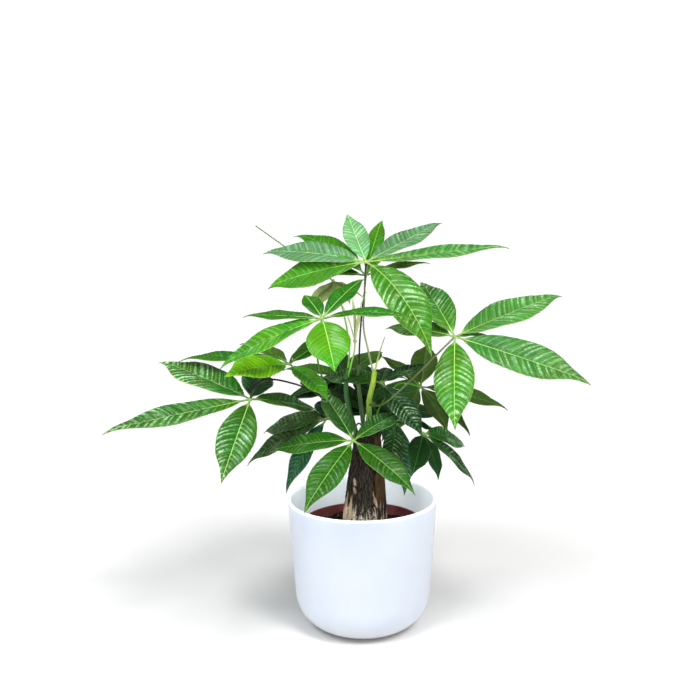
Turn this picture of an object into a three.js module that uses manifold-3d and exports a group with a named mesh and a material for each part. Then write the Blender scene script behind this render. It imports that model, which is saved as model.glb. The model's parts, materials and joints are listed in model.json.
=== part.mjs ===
// A potted money tree: a stump trunk with young shoots and hand-shaped leaves, in a nursery pot
// that stands inside a round-bottomed planter. Millimetres, +Z up, the origin at the middle of
// the planter's flat underside, +X to the right and -Y towards the front.
import * as THREE from "three";
import { mergeVertices } from "three/addons/utils/BufferGeometryUtils.js";
import Module from "manifold-3d";

const wasm = await Module();
wasm.setup();

// Driving dimensions.
const GAP = 0.3;

const PLANTER = {
  height: 144,
  rimRadius: 80,
  lowerRadius: 73.5,
  baseRounding: 43,
  wall: 3.6,
  floor: 4,
  lipRounding: 1.6,
  sides: 40,
  roundingSteps: 5,
};

const NURSERY_POT = {
  rimHeight: 117,
  rimRadius: 65,
  rimBand: 9,
  rimStep: 1.4,
  rimWall: 2,
  wall: 1.5,
  footHeight: 7.6,
  footRadius: 45.5,
  floor: 1.8,
  drainRadius: 3.5,
  drainCircle: 30,
  drainCount: 6,
  drainSides: 8,
  sides: 32,
};

// Ripples of the soil's top are sines of x and y, each with its share of the unevenness.
const SOIL = {
  top: 107,
  shoulder: 105,
  rings: [0.9, 0.72, 0.5],
  unevenness: 1.3,
  ripples: [
    { x: 0.17, y: 0.21, phase: 0.7, share: 0.6 },
    { x: -0.19, y: 0.16, phase: 2.1, share: 0.5 },
    { x: 0.31, y: 0.3, phase: 0, share: 0.4 },
  ],
};

// The trunk's bark as [height, radius] from the buried end to the cut top. Its ridges start
// above the soil line, so that it stands in a plain hole.
const TRUNK = {
  profile: [
    [64, 19],
    [90, 23],
    [107, 24.6],
    [116, 24],
    [126, 22.9],
    [140, 21.2],
    [155, 19.9],
    [170, 18.9],
    [185, 17.3],
    [198, 15.8],
    [207, 15],
    [212.5, 13.6],
  ],
  top: 216,
  topRing: { radius: 7.5, height: 215 },
  soilLine: 111,
  ridgeFade: 12,
  ridges: 9,
  ridgeDepth: 0.9,
  ridgeTwist: 0.02,
  swell: 0.7,
  swellTwist: 0.05,
  lean: 0.045,
  footX: 2,
  sides: 36,
};

const STALK = { radius: 1.5, sides: 5, steps: 8 };
const SHOOT = { sides: 8, steps: 10 };
const TWIG = { sides: 6, steps: 6 };
const BARE_RIB_RADIUS = 0.8;
const HUB_RADIUS = 3;

// A blade's shape: shares are of its length, angles in degrees. The upturn is the share by
// which its face turns from the leaf's own up to straight up.
const BLADE = {
  width: 0.35,
  edge: 0.7,
  rib: 1.2,
  arch: 0.035,
  upturn: 0.35,
  fold: 13,
  foldLoss: 0.6,
  wave: 0.8,
  waveFullAt: 8,
  neck: 1.2,
  tipShare: 0.4,
  fullness: 0.9,
  widestPower: 0.92,
  stations: [0, 0.06, 0.22, 0.42, 0.63, 0.83, 1],
};

// Shoots: points of each stem's axis, and its radius.
const SHOOTS = {
  shoot_main: {
    radius: 2.9,
    axis: [[6, -7, 205], [8, -10, 238], [8, -12, 252], [12, -14, 271], [14, -14, 284]],
    twig: { radius: 1.1, axis: [[13, -14, 279], [16, -14, 292], [19, -13, 303], [25, -10, 320]] },
  },
  shoot_left: {
    radius: 2.6,
    axis: [[-3, 2, 205], [-9, 3, 225], [-14, 5, 245], [-16, 7, 262], [-14, 8, 284]],
  },
  shoot_back: {
    radius: 2.3,
    axis: [[4, 9, 205], [0, 14, 240], [-3, 15, 270], [-2, 15, 286]],
  },
};

// One leaflet of a leaf. A bearing of 0 points right and 90 points away, in the leaf's own plane.
function leaflet(bearing, length, droop, options = {}) {
  return { bearing, length, droop, width: BLADE.width, upturn: BLADE.upturn, arch: BLADE.arch, ...options };
}

// Leaves: the hub where the leaflets meet, the lean and compass angle of the leaf's own up
// direction, its colour, points of its stalk from what carries it, and its leaflets.
const LEAVES = {
  leaf_crown: {
    hub: [6, -25, 399],
    lean: 36,
    azimuth: 260,
    colour: "bright",
    stalk: [[13, -14, 281], [7, -12, 308], [3, -10, 329], [4, -9, 360], [5, -14, 385]],
    leaflets: [
      leaflet(10, 150, 6, { width: 0.18, arch: 0 }),
      leaflet(48, 125, 13, { width: 0.26, arch: 0 }),
      leaflet(102, 100, 6, { width: 0.26, upturn: 0, arch: -0.02 }),
      leaflet(155, 125, 8, { width: 0.28, upturn: 0.1 }),
      leaflet(177, 110, 14, { width: 0.42, upturn: 0 }),
      leaflet(299, 126, 15, { width: 0.36, arch: 0.13 }),
    ],
  },
  leaf_crown_back: {
    hub: [6, 20, 381],
    lean: 25,
    azimuth: 265,
    colour: "mid",
    stalk: [[-2, 15, 282], [-1, 15, 310], [2, 16, 345], [5, 18, 368]],
    leaflets: [
      leaflet(16, 72, -1, { width: 0.24 }),
      leaflet(58, 85, -8, { width: 0.2 }),
      leaflet(77, 95, -11, { width: 0.22 }),
      leaflet(138, 105, -8, { arch: 0.08 }),
      leaflet(164, 92, 7),
    ],
  },
  leaf_bright: {
    hub: [-38, -75, 349],
    lean: 29,
    azimuth: 260,
    colour: "bright",
    stalk: [[-9, 3, 226], [-33, 0, 258], [-44, -30, 296], [-43, -60, 326]],
    leaflets: [
      leaflet(344, 93, -7, { width: 0.24, upturn: 0.5, arch: 0.06 }),
      leaflet(56, 75, -1, { width: 0.32 }),
      leaflet(113, 50, 2, { width: 0.4 }),
      leaflet(158, 90, 8, { width: 0.22, arch: 0.01 }),
      leaflet(190, 114, 18, { width: 0.32, upturn: 0.2 }),
      leaflet(280, 65, 14, { width: 0.66 }),
    ],
  },
  leaf_right: {
    hub: [95, -35, 323],
    lean: 36,
    azimuth: 247,
    colour: "bright",
    stalk: [[8, -12, 248], [22, -36, 254], [50, -46, 281], [82, -42, 312]],
    leaflets: [
      leaflet(28, 42, 30, { width: 0.3 }),
      leaflet(35, 148, 16, { width: 0.3, upturn: 0.1, arch: 0.01 }),
      leaflet(108, 95, -4, { width: 0.36 }),
      leaflet(146, 90, 9, { width: 0.36 }),
      leaflet(263, 104, 14, { width: 0.39 }),
      leaflet(328, 146, 7, { width: 0.31, upturn: 0.1, arch: 0.01 }),
    ],
  },
  leaf_left: {
    hub: [-112, -55, 265],
    lean: 32,
    azimuth: 309,
    colour: "bright",
    stalk: [[-6, -3, 205], [-20, 0, 228], [-46, 0, 257], [-75, -22, 275], [-100, -44, 282], [-109, -53, 275]],
    leaflets: [
      leaflet(27, 95, 15),
      leaflet(80, 70, 10, { width: 0.48 }),
      leaflet(146, 120, 15, { width: 0.4, upturn: 0, arch: 0.01 }),
      leaflet(203, 149, 15, { width: 0.23, arch: 0 }),
      leaflet(262, 104, 14, { width: 0.36, arch: 0.02 }),
    ],
  },
  leaf_left_upper: {
    hub: [-74, -20, 294],
    lean: 24,
    azimuth: 321,
    colour: "mid",
    stalk: [[-14, 8, 279], [-35, 4, 300], [-58, -8, 308], [-70, -16, 303]],
    leaflets: [
      leaflet(56, 80, -11, { width: 0.3 }),
      leaflet(130, 85, 15),
      leaflet(173, 118, 19, { width: 0.26 }),
      leaflet(219, 80, 5, { width: 0.52, upturn: 0 }),
      leaflet(309, 68, 0, { width: 0.46, upturn: 0 }),
    ],
  },
  leaf_front: {
    hub: [-9, -70, 225],
    lean: 35,
    azimuth: 275,
    colour: "mid",
    stalk: [[2, -8, 205], [0, -24, 228], [-5, -48, 236], [-8, -64, 231]],
    leaflets: [
      leaflet(46, 80, 12, { width: 0.3 }),
      leaflet(118, 72, -4),
      leaflet(173, 90, 20, { width: 0.33, upturn: 0.2 }),
      leaflet(241, 98, 2, { width: 0.34 }),
      leaflet(309, 92, -6, { width: 0.33 }),
    ],
  },
  leaf_left_low: {
    hub: [-37, 12, 228],
    lean: 27,
    azimuth: 224,
    colour: "deep",
    stalk: [[-4, 7, 205], [-14, 10, 226], [-28, 12, 233]],
    leaflets: [
      leaflet(95, 80, 14),
      leaflet(154, 95, 10, { width: 0.4, upturn: 0 }),
      leaflet(183, 105, 12, { upturn: 0 }),
      leaflet(218, 90, 28, { width: 0.36 }),
    ],
  },
  leaf_right_mid: {
    hub: [66, 50, 254],
    lean: 50,
    azimuth: 76,
    colour: "olive",
    stalk: [[10, 9, 205], [20, 20, 238], [42, 38, 260]],
    leaflets: [
      leaflet(230, 70, 5, { width: 0.28 }),
      leaflet(273, 85, 5, { width: 0.34 }),
      leaflet(346, 105, 17, { width: 0.26, upturn: 0 }),
      leaflet(32, 78, 20),
      leaflet(59, 70, 10, { width: 0.4 }),
      leaflet(110, 80, 14),
    ],
  },
  leaf_right_low: {
    hub: [65, -5, 215],
    lean: 43,
    azimuth: 337,
    colour: "deep",
    stalk: [[13, -4, 205], [28, -6, 226], [50, -6, 225]],
    leaflets: [
      leaflet(4, 95, 11, { width: 0.3, upturn: 0 }),
      leaflet(34, 88, 4, { width: 0.32, upturn: 0 }),
      leaflet(262, 70, 10),
      leaflet(292, 60, 6),
    ],
  },
  leaf_centre: {
    hub: [21, -5, 270],
    lean: 23,
    azimuth: 272,
    colour: "deep",
    stalk: [[8, -11, 246], [15, -6, 258]],
    leaflets: [
      leaflet(20, 52, -14, { width: 0.42 }),
      leaflet(80, 45, 11, { width: 0.42 }),
      leaflet(148, 78, 14, { width: 0.42, upturn: 0 }),
      leaflet(303, 78, 16, { width: 0.4 }),
    ],
  },
  leaf_hanging: {
    hub: [38, 22, 224],
    lean: 30,
    azimuth: 300,
    colour: "deep",
    stalk: [[13, 3, 203], [25, 14, 227]],
    leaflets: [
      leaflet(20, 60, 20),
      leaflet(240, 60, 30, { width: 0.36 }),
      leaflet(268, 65, 32, { width: 0.34 }),
      leaflet(292, 82, 42, { width: 0.3 }),
    ],
  },
  leaf_inner: {
    hub: [10, 40, 238],
    lean: 40,
    azimuth: 270,
    colour: "deep",
    stalk: [[2, 11, 222], [5, 24, 234]],
    leaflets: [
      leaflet(350, 52, 8, { width: 0.42 }),
      leaflet(60, 42, 20, { width: 0.42 }),
      leaflet(300, 45, 10, { width: 0.42 }),
    ],
  },
  leaf_young_grey: {
    hub: [-29, 60, 371],
    lean: 20,
    azimuth: 90,
    colour: "pale",
    stalk: [[-14, 9, 280], [-12, 16, 304], [-17, 33, 335], [-25, 52, 362]],
    leaflets: [
      leaflet(200, 45, 45, { width: 0.6 }),
      leaflet(240, 42, 50, { width: 0.6 }),
      leaflet(0, 40, 30, { width: 0.6 }),
      leaflet(320, 38, 50, { width: 0.5 }),
    ],
    bareRib: { bearing: 196, length: 103, rise: 33 },
  },
  leaf_young_pale: {
    hub: [-6, 5, 313],
    lean: 10,
    azimuth: 270,
    colour: "pale",
    stalk: [[-14, 7, 274], [-10, 4, 290], [-7, 4, 302]],
    leaflets: [
      leaflet(185, 46, -72, { width: 0.15 }),
      leaflet(110, 50, -80, { width: 0.16 }),
      leaflet(20, 54, -78, { width: 0.18 }),
      leaflet(300, 44, -70, { width: 0.15 }),
    ],
  },
  leaf_back_olive: {
    hub: [-17, 70, 262],
    lean: 18,
    azimuth: 270,
    colour: "olive",
    stalk: [[-2, 15, 256], [-8, 38, 268], [-14, 60, 268]],
    leaflets: [
      leaflet(15, 75, 10),
      leaflet(60, 90, 5),
      leaflet(105, 95, 5),
      leaflet(150, 85, 8),
      leaflet(195, 70, 14),
    ],
  },
  leaf_back_left: {
    hub: [-38, 48, 246],
    lean: 22,
    azimuth: 230,
    colour: "deep",
    stalk: [[-2, 12, 203], [-12, 26, 230], [-28, 42, 246]],
    leaflets: [
      leaflet(75, 75, 8),
      leaflet(112, 85, 8),
      leaflet(150, 70, 10, { width: 0.38 }),
    ],
  },
  leaf_back_low: {
    hub: [15, 84, 216],
    lean: 28,
    azimuth: 275,
    colour: "deep",
    stalk: [[7, 11, 203], [8, 30, 224], [12, 64, 226]],
    leaflets: [
      leaflet(15, 95, 12),
      leaflet(55, 105, 8),
      leaflet(95, 110, 6),
      leaflet(135, 105, 8),
      leaflet(170, 95, 14),
      leaflet(265, 50, 20, { width: 0.45 }),
    ],
  },
};

const FINISHES = {
  porcelain: { color: 0xf1f3f6, roughness: 0.35 },
  clay: { color: 0x6b2420, roughness: 0.5 },
  earth: { color: 0x2b221c, roughness: 0.95 },
  bark: { color: 0x6a5644, roughness: 0.9 },
  sprout: { color: 0x9dbb4c, roughness: 0.5 },
  bright: { color: 0x3f9b34, roughness: 0.4 },
  mid: { color: 0x2f7f35, roughness: 0.4 },
  deep: { color: 0x1d5532, roughness: 0.35 },
  olive: { color: 0x50712c, roughness: 0.5 },
  pale: { color: 0xa9c07e, roughness: 0.5 },
};

const radians = THREE.MathUtils.degToRad;

// A closed geometry as a solid. Only positions count, and shared corners are merged.
function solidFrom(geometry) {
  const bare = geometry.clone();
  bare.deleteAttribute("normal");
  bare.deleteAttribute("uv");
  const merged = mergeVertices(bare, 1e-4);
  const mesh = new wasm.Mesh({
    numProp: 3,
    vertProperties: merged.attributes.position.array,
    triVerts: new Uint32Array(merged.index.array),
  });
  return new wasm.Manifold(mesh);
}

// A solid's largest body as a geometry, so that no loose scrap of a cut is kept.
function geometryFrom(solid) {
  const bodies = solid.decompose();
  bodies.sort((a, b) => b.volume() - a.volume());
  const mesh = bodies[0].getMesh();
  const geometry = new THREE.BufferGeometry();
  geometry.setAttribute("position", new THREE.BufferAttribute(mesh.vertProperties, mesh.numProp));
  geometry.setIndex(new THREE.BufferAttribute(mesh.triVerts, 1));
  return geometry;
}

// A turned piece from [radius, height] pairs that start and end on the axis.
function turned(profile, sides) {
  const points = profile.map(([radius, height]) => new THREE.Vector2(radius, height));
  return new THREE.LatheGeometry(points, sides).rotateX(Math.PI / 2);
}

// [radius, height] pairs along a round corner, from one angle to another in degrees.
function corner(centreRadius, centreHeight, radius, from, to, steps) {
  return Array.from({ length: steps + 1 }, (_, i) => {
    const angle = radians(from + ((to - from) * i) / steps);
    return [centreRadius + radius * Math.cos(angle), centreHeight + radius * Math.sin(angle)];
  });
}

// A round tube along a smooth curve through the given points.
function tube(points, radius, { sides, steps }) {
  const curve = new THREE.CatmullRomCurve3(points.map((values) => new THREE.Vector3(...values)));
  const section = Array.from({ length: sides }, (_, i) => {
    const angle = (2 * Math.PI * i) / sides;
    return new THREE.Vector2(radius * Math.cos(angle), radius * Math.sin(angle));
  });
  return new THREE.ExtrudeGeometry(new THREE.Shape(section), { extrudePath: curve, steps });
}

// The planter: a thin round-bottomed pot with a softly rounded lip and a full flat base.
function planterGeometry() {
  const { height, rimRadius, lowerRadius, baseRounding, wall, floor, lipRounding, roundingSteps } = PLANTER;
  const flatRadius = lowerRadius - baseRounding;
  const innerRounding = baseRounding - wall;
  const lipHeight = height - lipRounding;
  const profile = [
    [0, 0],
    ...corner(flatRadius, baseRounding, baseRounding, -90, 0, roundingSteps),
    ...corner(rimRadius - lipRounding, lipHeight, lipRounding, 0, 90, 2),
    ...corner(rimRadius - wall + lipRounding, lipHeight, lipRounding, 90, 180, 2),
    ...corner(flatRadius, floor + innerRounding, innerRounding, 0, -90, roundingSteps),
    [0, floor],
  ];
  return turned(profile, PLANTER.sides);
}

// Outer radius of the nursery pot's tapered wall at a height.
function nurseryRadius(height) {
  const { rimHeight, rimRadius, rimBand, rimStep, footHeight, footRadius } = NURSERY_POT;
  const share = (height - footHeight) / (rimHeight - rimBand - footHeight);
  return THREE.MathUtils.lerp(footRadius, rimRadius - rimStep, share);
}

// The nursery pot: a thin tapered pot with a thicker rim band and drain holes in its floor.
function nurseryPotGeometry() {
  const pot = NURSERY_POT;
  const bandBottom = pot.rimHeight - pot.rimBand;
  const floorTop = pot.footHeight + pot.floor;
  const profile = [
    [0, pot.footHeight],
    [pot.footRadius, pot.footHeight],
    [nurseryRadius(bandBottom), bandBottom],
    [pot.rimRadius, bandBottom],
    [pot.rimRadius, pot.rimHeight],
    [pot.rimRadius - pot.rimWall, pot.rimHeight],
    [nurseryRadius(bandBottom) - pot.wall, bandBottom],
    [nurseryRadius(floorTop) - pot.wall, floorTop],
    [0, floorTop],
  ];
  let solid = solidFrom(turned(profile, pot.sides));
  for (let i = 0; i < pot.drainCount; i += 1) {
    const angle = (2 * Math.PI * (i + 0.5)) / pot.drainCount;
    const { drainRadius, drainSides } = pot;
    const hole = new THREE.CylinderGeometry(drainRadius, drainRadius, 4 * pot.floor, drainSides);
    hole.rotateX(Math.PI / 2);
    hole.translate(pot.drainCircle * Math.cos(angle), pot.drainCircle * Math.sin(angle), pot.footHeight);
    solid = solid.subtract(solidFrom(hole));
  }
  return geometryFrom(solid);
}

// The soil: fills the nursery pot, with an uneven top and a plain hole for the trunk.
function soilGeometry() {
  const bottom = NURSERY_POT.footHeight + NURSERY_POT.floor + GAP;
  const insideRadius = (height) => nurseryRadius(height) - NURSERY_POT.wall - GAP;
  const edge = insideRadius(SOIL.shoulder);
  const rings = SOIL.rings.map((share) => [share * edge, SOIL.top]);
  const walls = [[0, bottom], [insideRadius(bottom), bottom], [edge, SOIL.shoulder]];
  const profile = [...walls, ...rings, [0, SOIL.top]];
  const geometry = turned(profile, NURSERY_POT.sides);
  const position = geometry.attributes.position;
  for (let i = 0; i < position.count; i += 1) {
    if (position.getZ(i) > SOIL.shoulder) {
      const heights = SOIL.ripples.map(({ x, y, phase, share }) =>
        share * Math.sin(x * position.getX(i) + y * position.getY(i) + phase));
      position.setZ(i, SOIL.top + SOIL.unevenness * heights.reduce((sum, height) => sum + height));
    }
  }
  return geometryFrom(solidFrom(geometry).subtract(solidFrom(trunkGeometry(GAP))));
}

// The trunk: a leaning stump with long bark ridges above the soil and a slightly domed cut top.
// It can be made thicker all round by a clearance, to cut its seat in what it touches.
function trunkGeometry(clearance = 0) {
  const { profile, top, topRing, soilLine, sides } = TRUNK;
  const bottom = profile[0][0] - clearance;
  const rings = profile.map(([height, radius], i) => [radius + clearance, i ? height : bottom]);
  const domed = [[topRing.radius, topRing.height + clearance], [0, top + clearance]];
  const geometry = turned([[0, bottom], ...rings, ...domed], sides);
  const position = geometry.attributes.position;
  for (let i = 0; i < position.count; i += 1) {
    const x = position.getX(i);
    const y = position.getY(i);
    const above = Math.max(0, position.getZ(i) - soilLine);
    const angle = Math.atan2(y, x);
    const ridge = TRUNK.ridgeDepth * Math.cos(TRUNK.ridges * angle + TRUNK.ridgeTwist * above);
    const swell = TRUNK.swell * Math.sin(2 * angle + TRUNK.swellTwist * above);
    const relief = Math.min(1, above / TRUNK.ridgeFade) * (ridge + swell);
    const scale = 1 + relief / Math.max(topRing.radius, Math.hypot(x, y));
    position.setXY(i, x * scale + TRUNK.footX + TRUNK.lean * above, y * scale);
  }
  return geometry;
}

// A leaf's own directions: up, and the two that span the hand of leaflets.
function leafFrame({ lean, azimuth }) {
  const up = new THREE.Vector3().setFromSphericalCoords(1, radians(lean), 0);
  up.set(up.z * Math.cos(radians(azimuth)), up.z * Math.sin(radians(azimuth)), up.y);
  const away = new THREE.Vector3().crossVectors(up, new THREE.Vector3(1, 0, 0)).normalize();
  const right = new THREE.Vector3().crossVectors(away, up);
  return { up, right, away };
}

// A leaflet's own directions: out along its rib, up from its face and to its side.
function leafletFrame(frame, { bearing, droop, upturn }) {
  const b = radians(bearing);
  const d = radians(droop);
  const level = frame.right.clone().multiplyScalar(Math.cos(b)).addScaledVector(frame.away, Math.sin(b));
  const out = level.clone().multiplyScalar(Math.cos(d)).addScaledVector(frame.up, -Math.sin(d));
  const leafUp = level.clone().multiplyScalar(Math.sin(d)).addScaledVector(frame.up, Math.cos(d));
  const skyUp = new THREE.Vector3(0, 0, 1).projectOnPlane(out).normalize();
  const up = leafUp.lerp(skyUp, upturn).normalize();
  const side = new THREE.Vector3().crossVectors(out, up);
  return { out, up, side };
}

// Half of a blade's width at a share of its length: a slim neck, a full middle and a drawn-out tip.
function halfWidth(share, { length, width }) {
  const neckEnd = BLADE.stations[1];
  if (share <= neckEnd) return BLADE.neck;
  const along = (share - neckEnd) / (1 - neckEnd);
  const full = Math.sin(Math.PI * along ** BLADE.widestPower) ** BLADE.fullness;
  const least = BLADE.neck * THREE.MathUtils.lerp(1, BLADE.tipShare, along);
  return Math.max(least, 0.5 * width * length * full);
}

// The six corners of a blade's section: left edge, rib and right edge above, and the same below.
function bladeSection(hub, { out, up, side }, blade, share, phase) {
  const rise = 4 * share * (1 - share) * blade.arch * blade.length;
  const rib = hub.clone().addScaledVector(out, share * blade.length).addScaledVector(up, rise);
  const half = halfWidth(share, blade);
  const lift = half * Math.tan(radians(BLADE.fold * (1 - BLADE.foldLoss * share)));
  const wave = BLADE.wave * Math.min(1, half / BLADE.waveFullAt);
  const edge = (sign, turn) =>
    rib.clone().addScaledVector(side, sign * half).addScaledVector(up, lift + wave * Math.sin(turn));
  const left = edge(-1, 14 * share + phase);
  const right = edge(1, 16 * share + phase + 1.5);
  const below = (point, depth) => point.clone().addScaledVector(up, -depth);
  const ribDepth = THREE.MathUtils.lerp(BLADE.rib, BLADE.edge, share);
  return [left, rib, right, below(right, BLADE.edge), below(rib, ribDepth), below(left, BLADE.edge)];
}

// One leaflet: an arched blade, folded along its rib, with gently waved edges.
// Both faces are split into the same triangles, so the thin blade never crosses itself.
function leafletGeometry(hub, frame, blade, phase) {
  const directions = leafletFrame(frame, blade);
  const corners = BLADE.stations.flatMap((share) => bladeSection(hub, directions, blade, share, phase));
  const firstCap = [0, 5, 4, 0, 4, 1, 1, 4, 3, 1, 3, 2];
  const lastCap = [0, 4, 5, 0, 1, 4, 1, 3, 4, 1, 2, 3];
  const step = 6;
  const last = step * (BLADE.stations.length - 1);
  const triangles = [...firstCap, ...lastCap.map((v) => v + last)];
  for (let a = 0; a < last; a += step) {
    const b = a + step;
    triangles.push(a + 1, b, a, a + 1, b + 1, b);
    triangles.push(a + 1, b + 2, b + 1, a + 1, a + 2, b + 2);
    triangles.push(a + 2, b + 3, b + 2, a + 2, a + 3, b + 3);
    triangles.push(a + 4, b + 4, b + 3, a + 4, b + 3, a + 3);
    triangles.push(a + 4, b + 5, b + 4, a + 4, a + 5, b + 5);
    triangles.push(a + 5, b, b + 5, a + 5, a, b);
  }
  const geometry = new THREE.BufferGeometry().setFromPoints(corners);
  geometry.setIndex(triangles);
  return geometry;
}

// A withered leaflet: only its bare rib is left.
function bareRibGeometry(hub, frame, { bearing, length, rise }) {
  const { out } = leafletFrame(frame, { bearing, droop: -rise, upturn: 0 });
  const tip = hub.clone().addScaledVector(out, length);
  return tube([hub.toArray(), tip.toArray()], BARE_RIB_RADIUS, { sides: STALK.sides, steps: 1 });
}

// A whole leaf: stalk, hub and leaflets grown together, seated just clear of what carries it.
function leafGeometry(leaf, carriers) {
  const hub = new THREE.Vector3(...leaf.hub);
  const frame = leafFrame(leaf);
  const pieces = [
    new THREE.IcosahedronGeometry(HUB_RADIUS, 0).translate(...leaf.hub),
    ...leaf.leaflets.map((blade, i) => leafletGeometry(hub, frame, blade, i)),
  ];
  if (leaf.bareRib) pieces.push(bareRibGeometry(hub, frame, leaf.bareRib));
  const stalk = solidFrom(tube([...leaf.stalk, leaf.hub], STALK.radius, STALK));
  const whole = pieces.reduce((solid, piece) => solid.add(solidFrom(piece)), stalk);
  return geometryFrom(carriers.reduce((solid, carrier) => solid.subtract(carrier), whole));
}

// A shoot with its twig, if it has one, made thicker by a clearance where it cuts a seat.
function shootSolid({ axis, radius, twig }, clearance = 0) {
  const stem = solidFrom(tube(axis, radius + clearance, SHOOT));
  return twig ? stem.add(solidFrom(tube(twig.axis, twig.radius + clearance, TWIG))) : stem;
}

// A named mesh with a material of its own.
function named(name, geometry, finish) {
  const material = new THREE.MeshStandardMaterial({ ...FINISHES[finish], metalness: 0 });
  const mesh = new THREE.Mesh(geometry, material);
  mesh.name = name;
  return mesh;
}

// The whole plant in its pots. Shoots grow from the trunk, and leaves from either.
function moneyTree() {
  const group = new THREE.Group();
  group.add(named("planter", planterGeometry(), "porcelain"));
  group.add(named("nursery_pot", nurseryPotGeometry(), "clay"));
  group.add(named("soil", soilGeometry(), "earth"));
  group.add(named("trunk", trunkGeometry(), "bark"));
  const trunkSeat = solidFrom(trunkGeometry(GAP));
  for (const [name, shoot] of Object.entries(SHOOTS)) {
    group.add(named(name, geometryFrom(shootSolid(shoot).subtract(trunkSeat)), "sprout"));
  }
  const carriers = [trunkSeat, ...Object.values(SHOOTS).map((shoot) => shootSolid(shoot, GAP))];
  for (const [name, leaf] of Object.entries(LEAVES)) {
    group.add(named(name, leafGeometry(leaf, carriers), leaf.colour));
  }
  return group;
}

const group = moneyTree();

export default group;
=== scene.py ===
"""The finished look of a potted money tree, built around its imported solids.

The frame is the solids' own: metres, +Z up, the origin at the middle of the planter's flat
underside, +X to the right and -Y towards the front. The tables of shoots and leaves give
millimetres and degrees, as the solids' source does.
"""

import json
import logging
import math
from dataclasses import dataclass, field
from enum import Enum

import bmesh
import bpy
import numpy as np
from mathutils import Matrix, Vector, noise

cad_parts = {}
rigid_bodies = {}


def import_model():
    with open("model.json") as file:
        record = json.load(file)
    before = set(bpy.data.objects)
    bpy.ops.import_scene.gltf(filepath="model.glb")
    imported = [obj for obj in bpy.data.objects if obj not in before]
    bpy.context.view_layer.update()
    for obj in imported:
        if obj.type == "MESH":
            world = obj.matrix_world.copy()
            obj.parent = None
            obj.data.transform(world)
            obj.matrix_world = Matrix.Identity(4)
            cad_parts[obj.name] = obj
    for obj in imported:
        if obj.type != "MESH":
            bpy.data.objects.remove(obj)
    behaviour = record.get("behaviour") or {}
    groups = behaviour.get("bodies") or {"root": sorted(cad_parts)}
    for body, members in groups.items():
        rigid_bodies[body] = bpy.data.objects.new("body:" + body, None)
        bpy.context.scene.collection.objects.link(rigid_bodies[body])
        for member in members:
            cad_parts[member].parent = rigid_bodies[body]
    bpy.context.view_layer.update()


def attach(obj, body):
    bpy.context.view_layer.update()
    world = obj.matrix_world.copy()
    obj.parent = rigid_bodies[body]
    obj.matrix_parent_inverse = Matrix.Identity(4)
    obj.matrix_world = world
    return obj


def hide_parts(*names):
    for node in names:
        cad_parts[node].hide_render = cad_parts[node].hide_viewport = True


LOG = logging.getLogger("money_tree")
MM = 0.001
SEED = 20
ASKEW = (0.31, 0.95, 0.05)

Point = tuple[float, float, float]
Colour = tuple[float, float, float]


class Tone(Enum):
    """Colours of blades and stalks, as linear red, green and blue."""

    # The first two are blue-tinged greens with part of the sky's sheen painted into them.
    MINT_SHEEN = (0.158, 0.427, 0.165)
    SHEENED_GREEN = (0.051, 0.217, 0.027)
    FRESH = (0.041, 0.213, 0.003)
    VIVID = (0.018, 0.158, 0.002)
    LIME = (0.063, 0.323, 0.003)
    SPRING = (0.158, 0.540, 0.007)
    GRASS = (0.024, 0.141, 0.005)
    # SHADY, DEEP and DUSK are the darker greens of the inner, low and back leaves: partly their own darker
    # green and partly painted shade.
    SHADY = (0.013, 0.081, 0.006)
    DEEP = (0.006, 0.044, 0.006)
    BLUE = (0.012, 0.078, 0.030)
    OLIVE = (0.053, 0.150, 0.012)
    DUSK = (0.028, 0.084, 0.013)
    GREY = (0.440, 0.600, 0.210)
    CREAM = (0.600, 0.700, 0.320)
    BROWN = (0.045, 0.032, 0.021)
    SPROUT = (0.360, 0.555, 0.038)
    PALE_GREEN = (0.360, 0.600, 0.165)
    TAUPE = (0.255, 0.255, 0.143)
    SHEEN = (0.620, 0.950, 0.560)


class Slot(Enum):
    """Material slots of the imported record."""

    GLAZE = "glaze"
    NURSERY = "nursery_plastic"
    SOIL = "soil"
    BARK = "bark"
    STEM = "green_stem"
    BRIGHT = "leaf_bright"
    MID = "leaf_mid"
    DEEP = "leaf_deep"
    OLIVE = "leaf_olive"
    PALE = "leaf_pale"


def smooth_step(value: np.ndarray, low: float, high: float) -> np.ndarray:
    """An even rise from 0 at low to 1 at high.

    Args:
        value: numbers of any shape.
        low: where the rise starts.
        high: where the rise ends.

    Returns:
        The risen values, of the same shape.
    """
    share = np.clip((value - low) / (high - low), 0.0, 1.0)
    return share * share * (3.0 - 2.0 * share)


def unit(vector: np.ndarray) -> np.ndarray:
    """The vector at length 1."""
    return vector / np.linalg.norm(vector)


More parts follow.
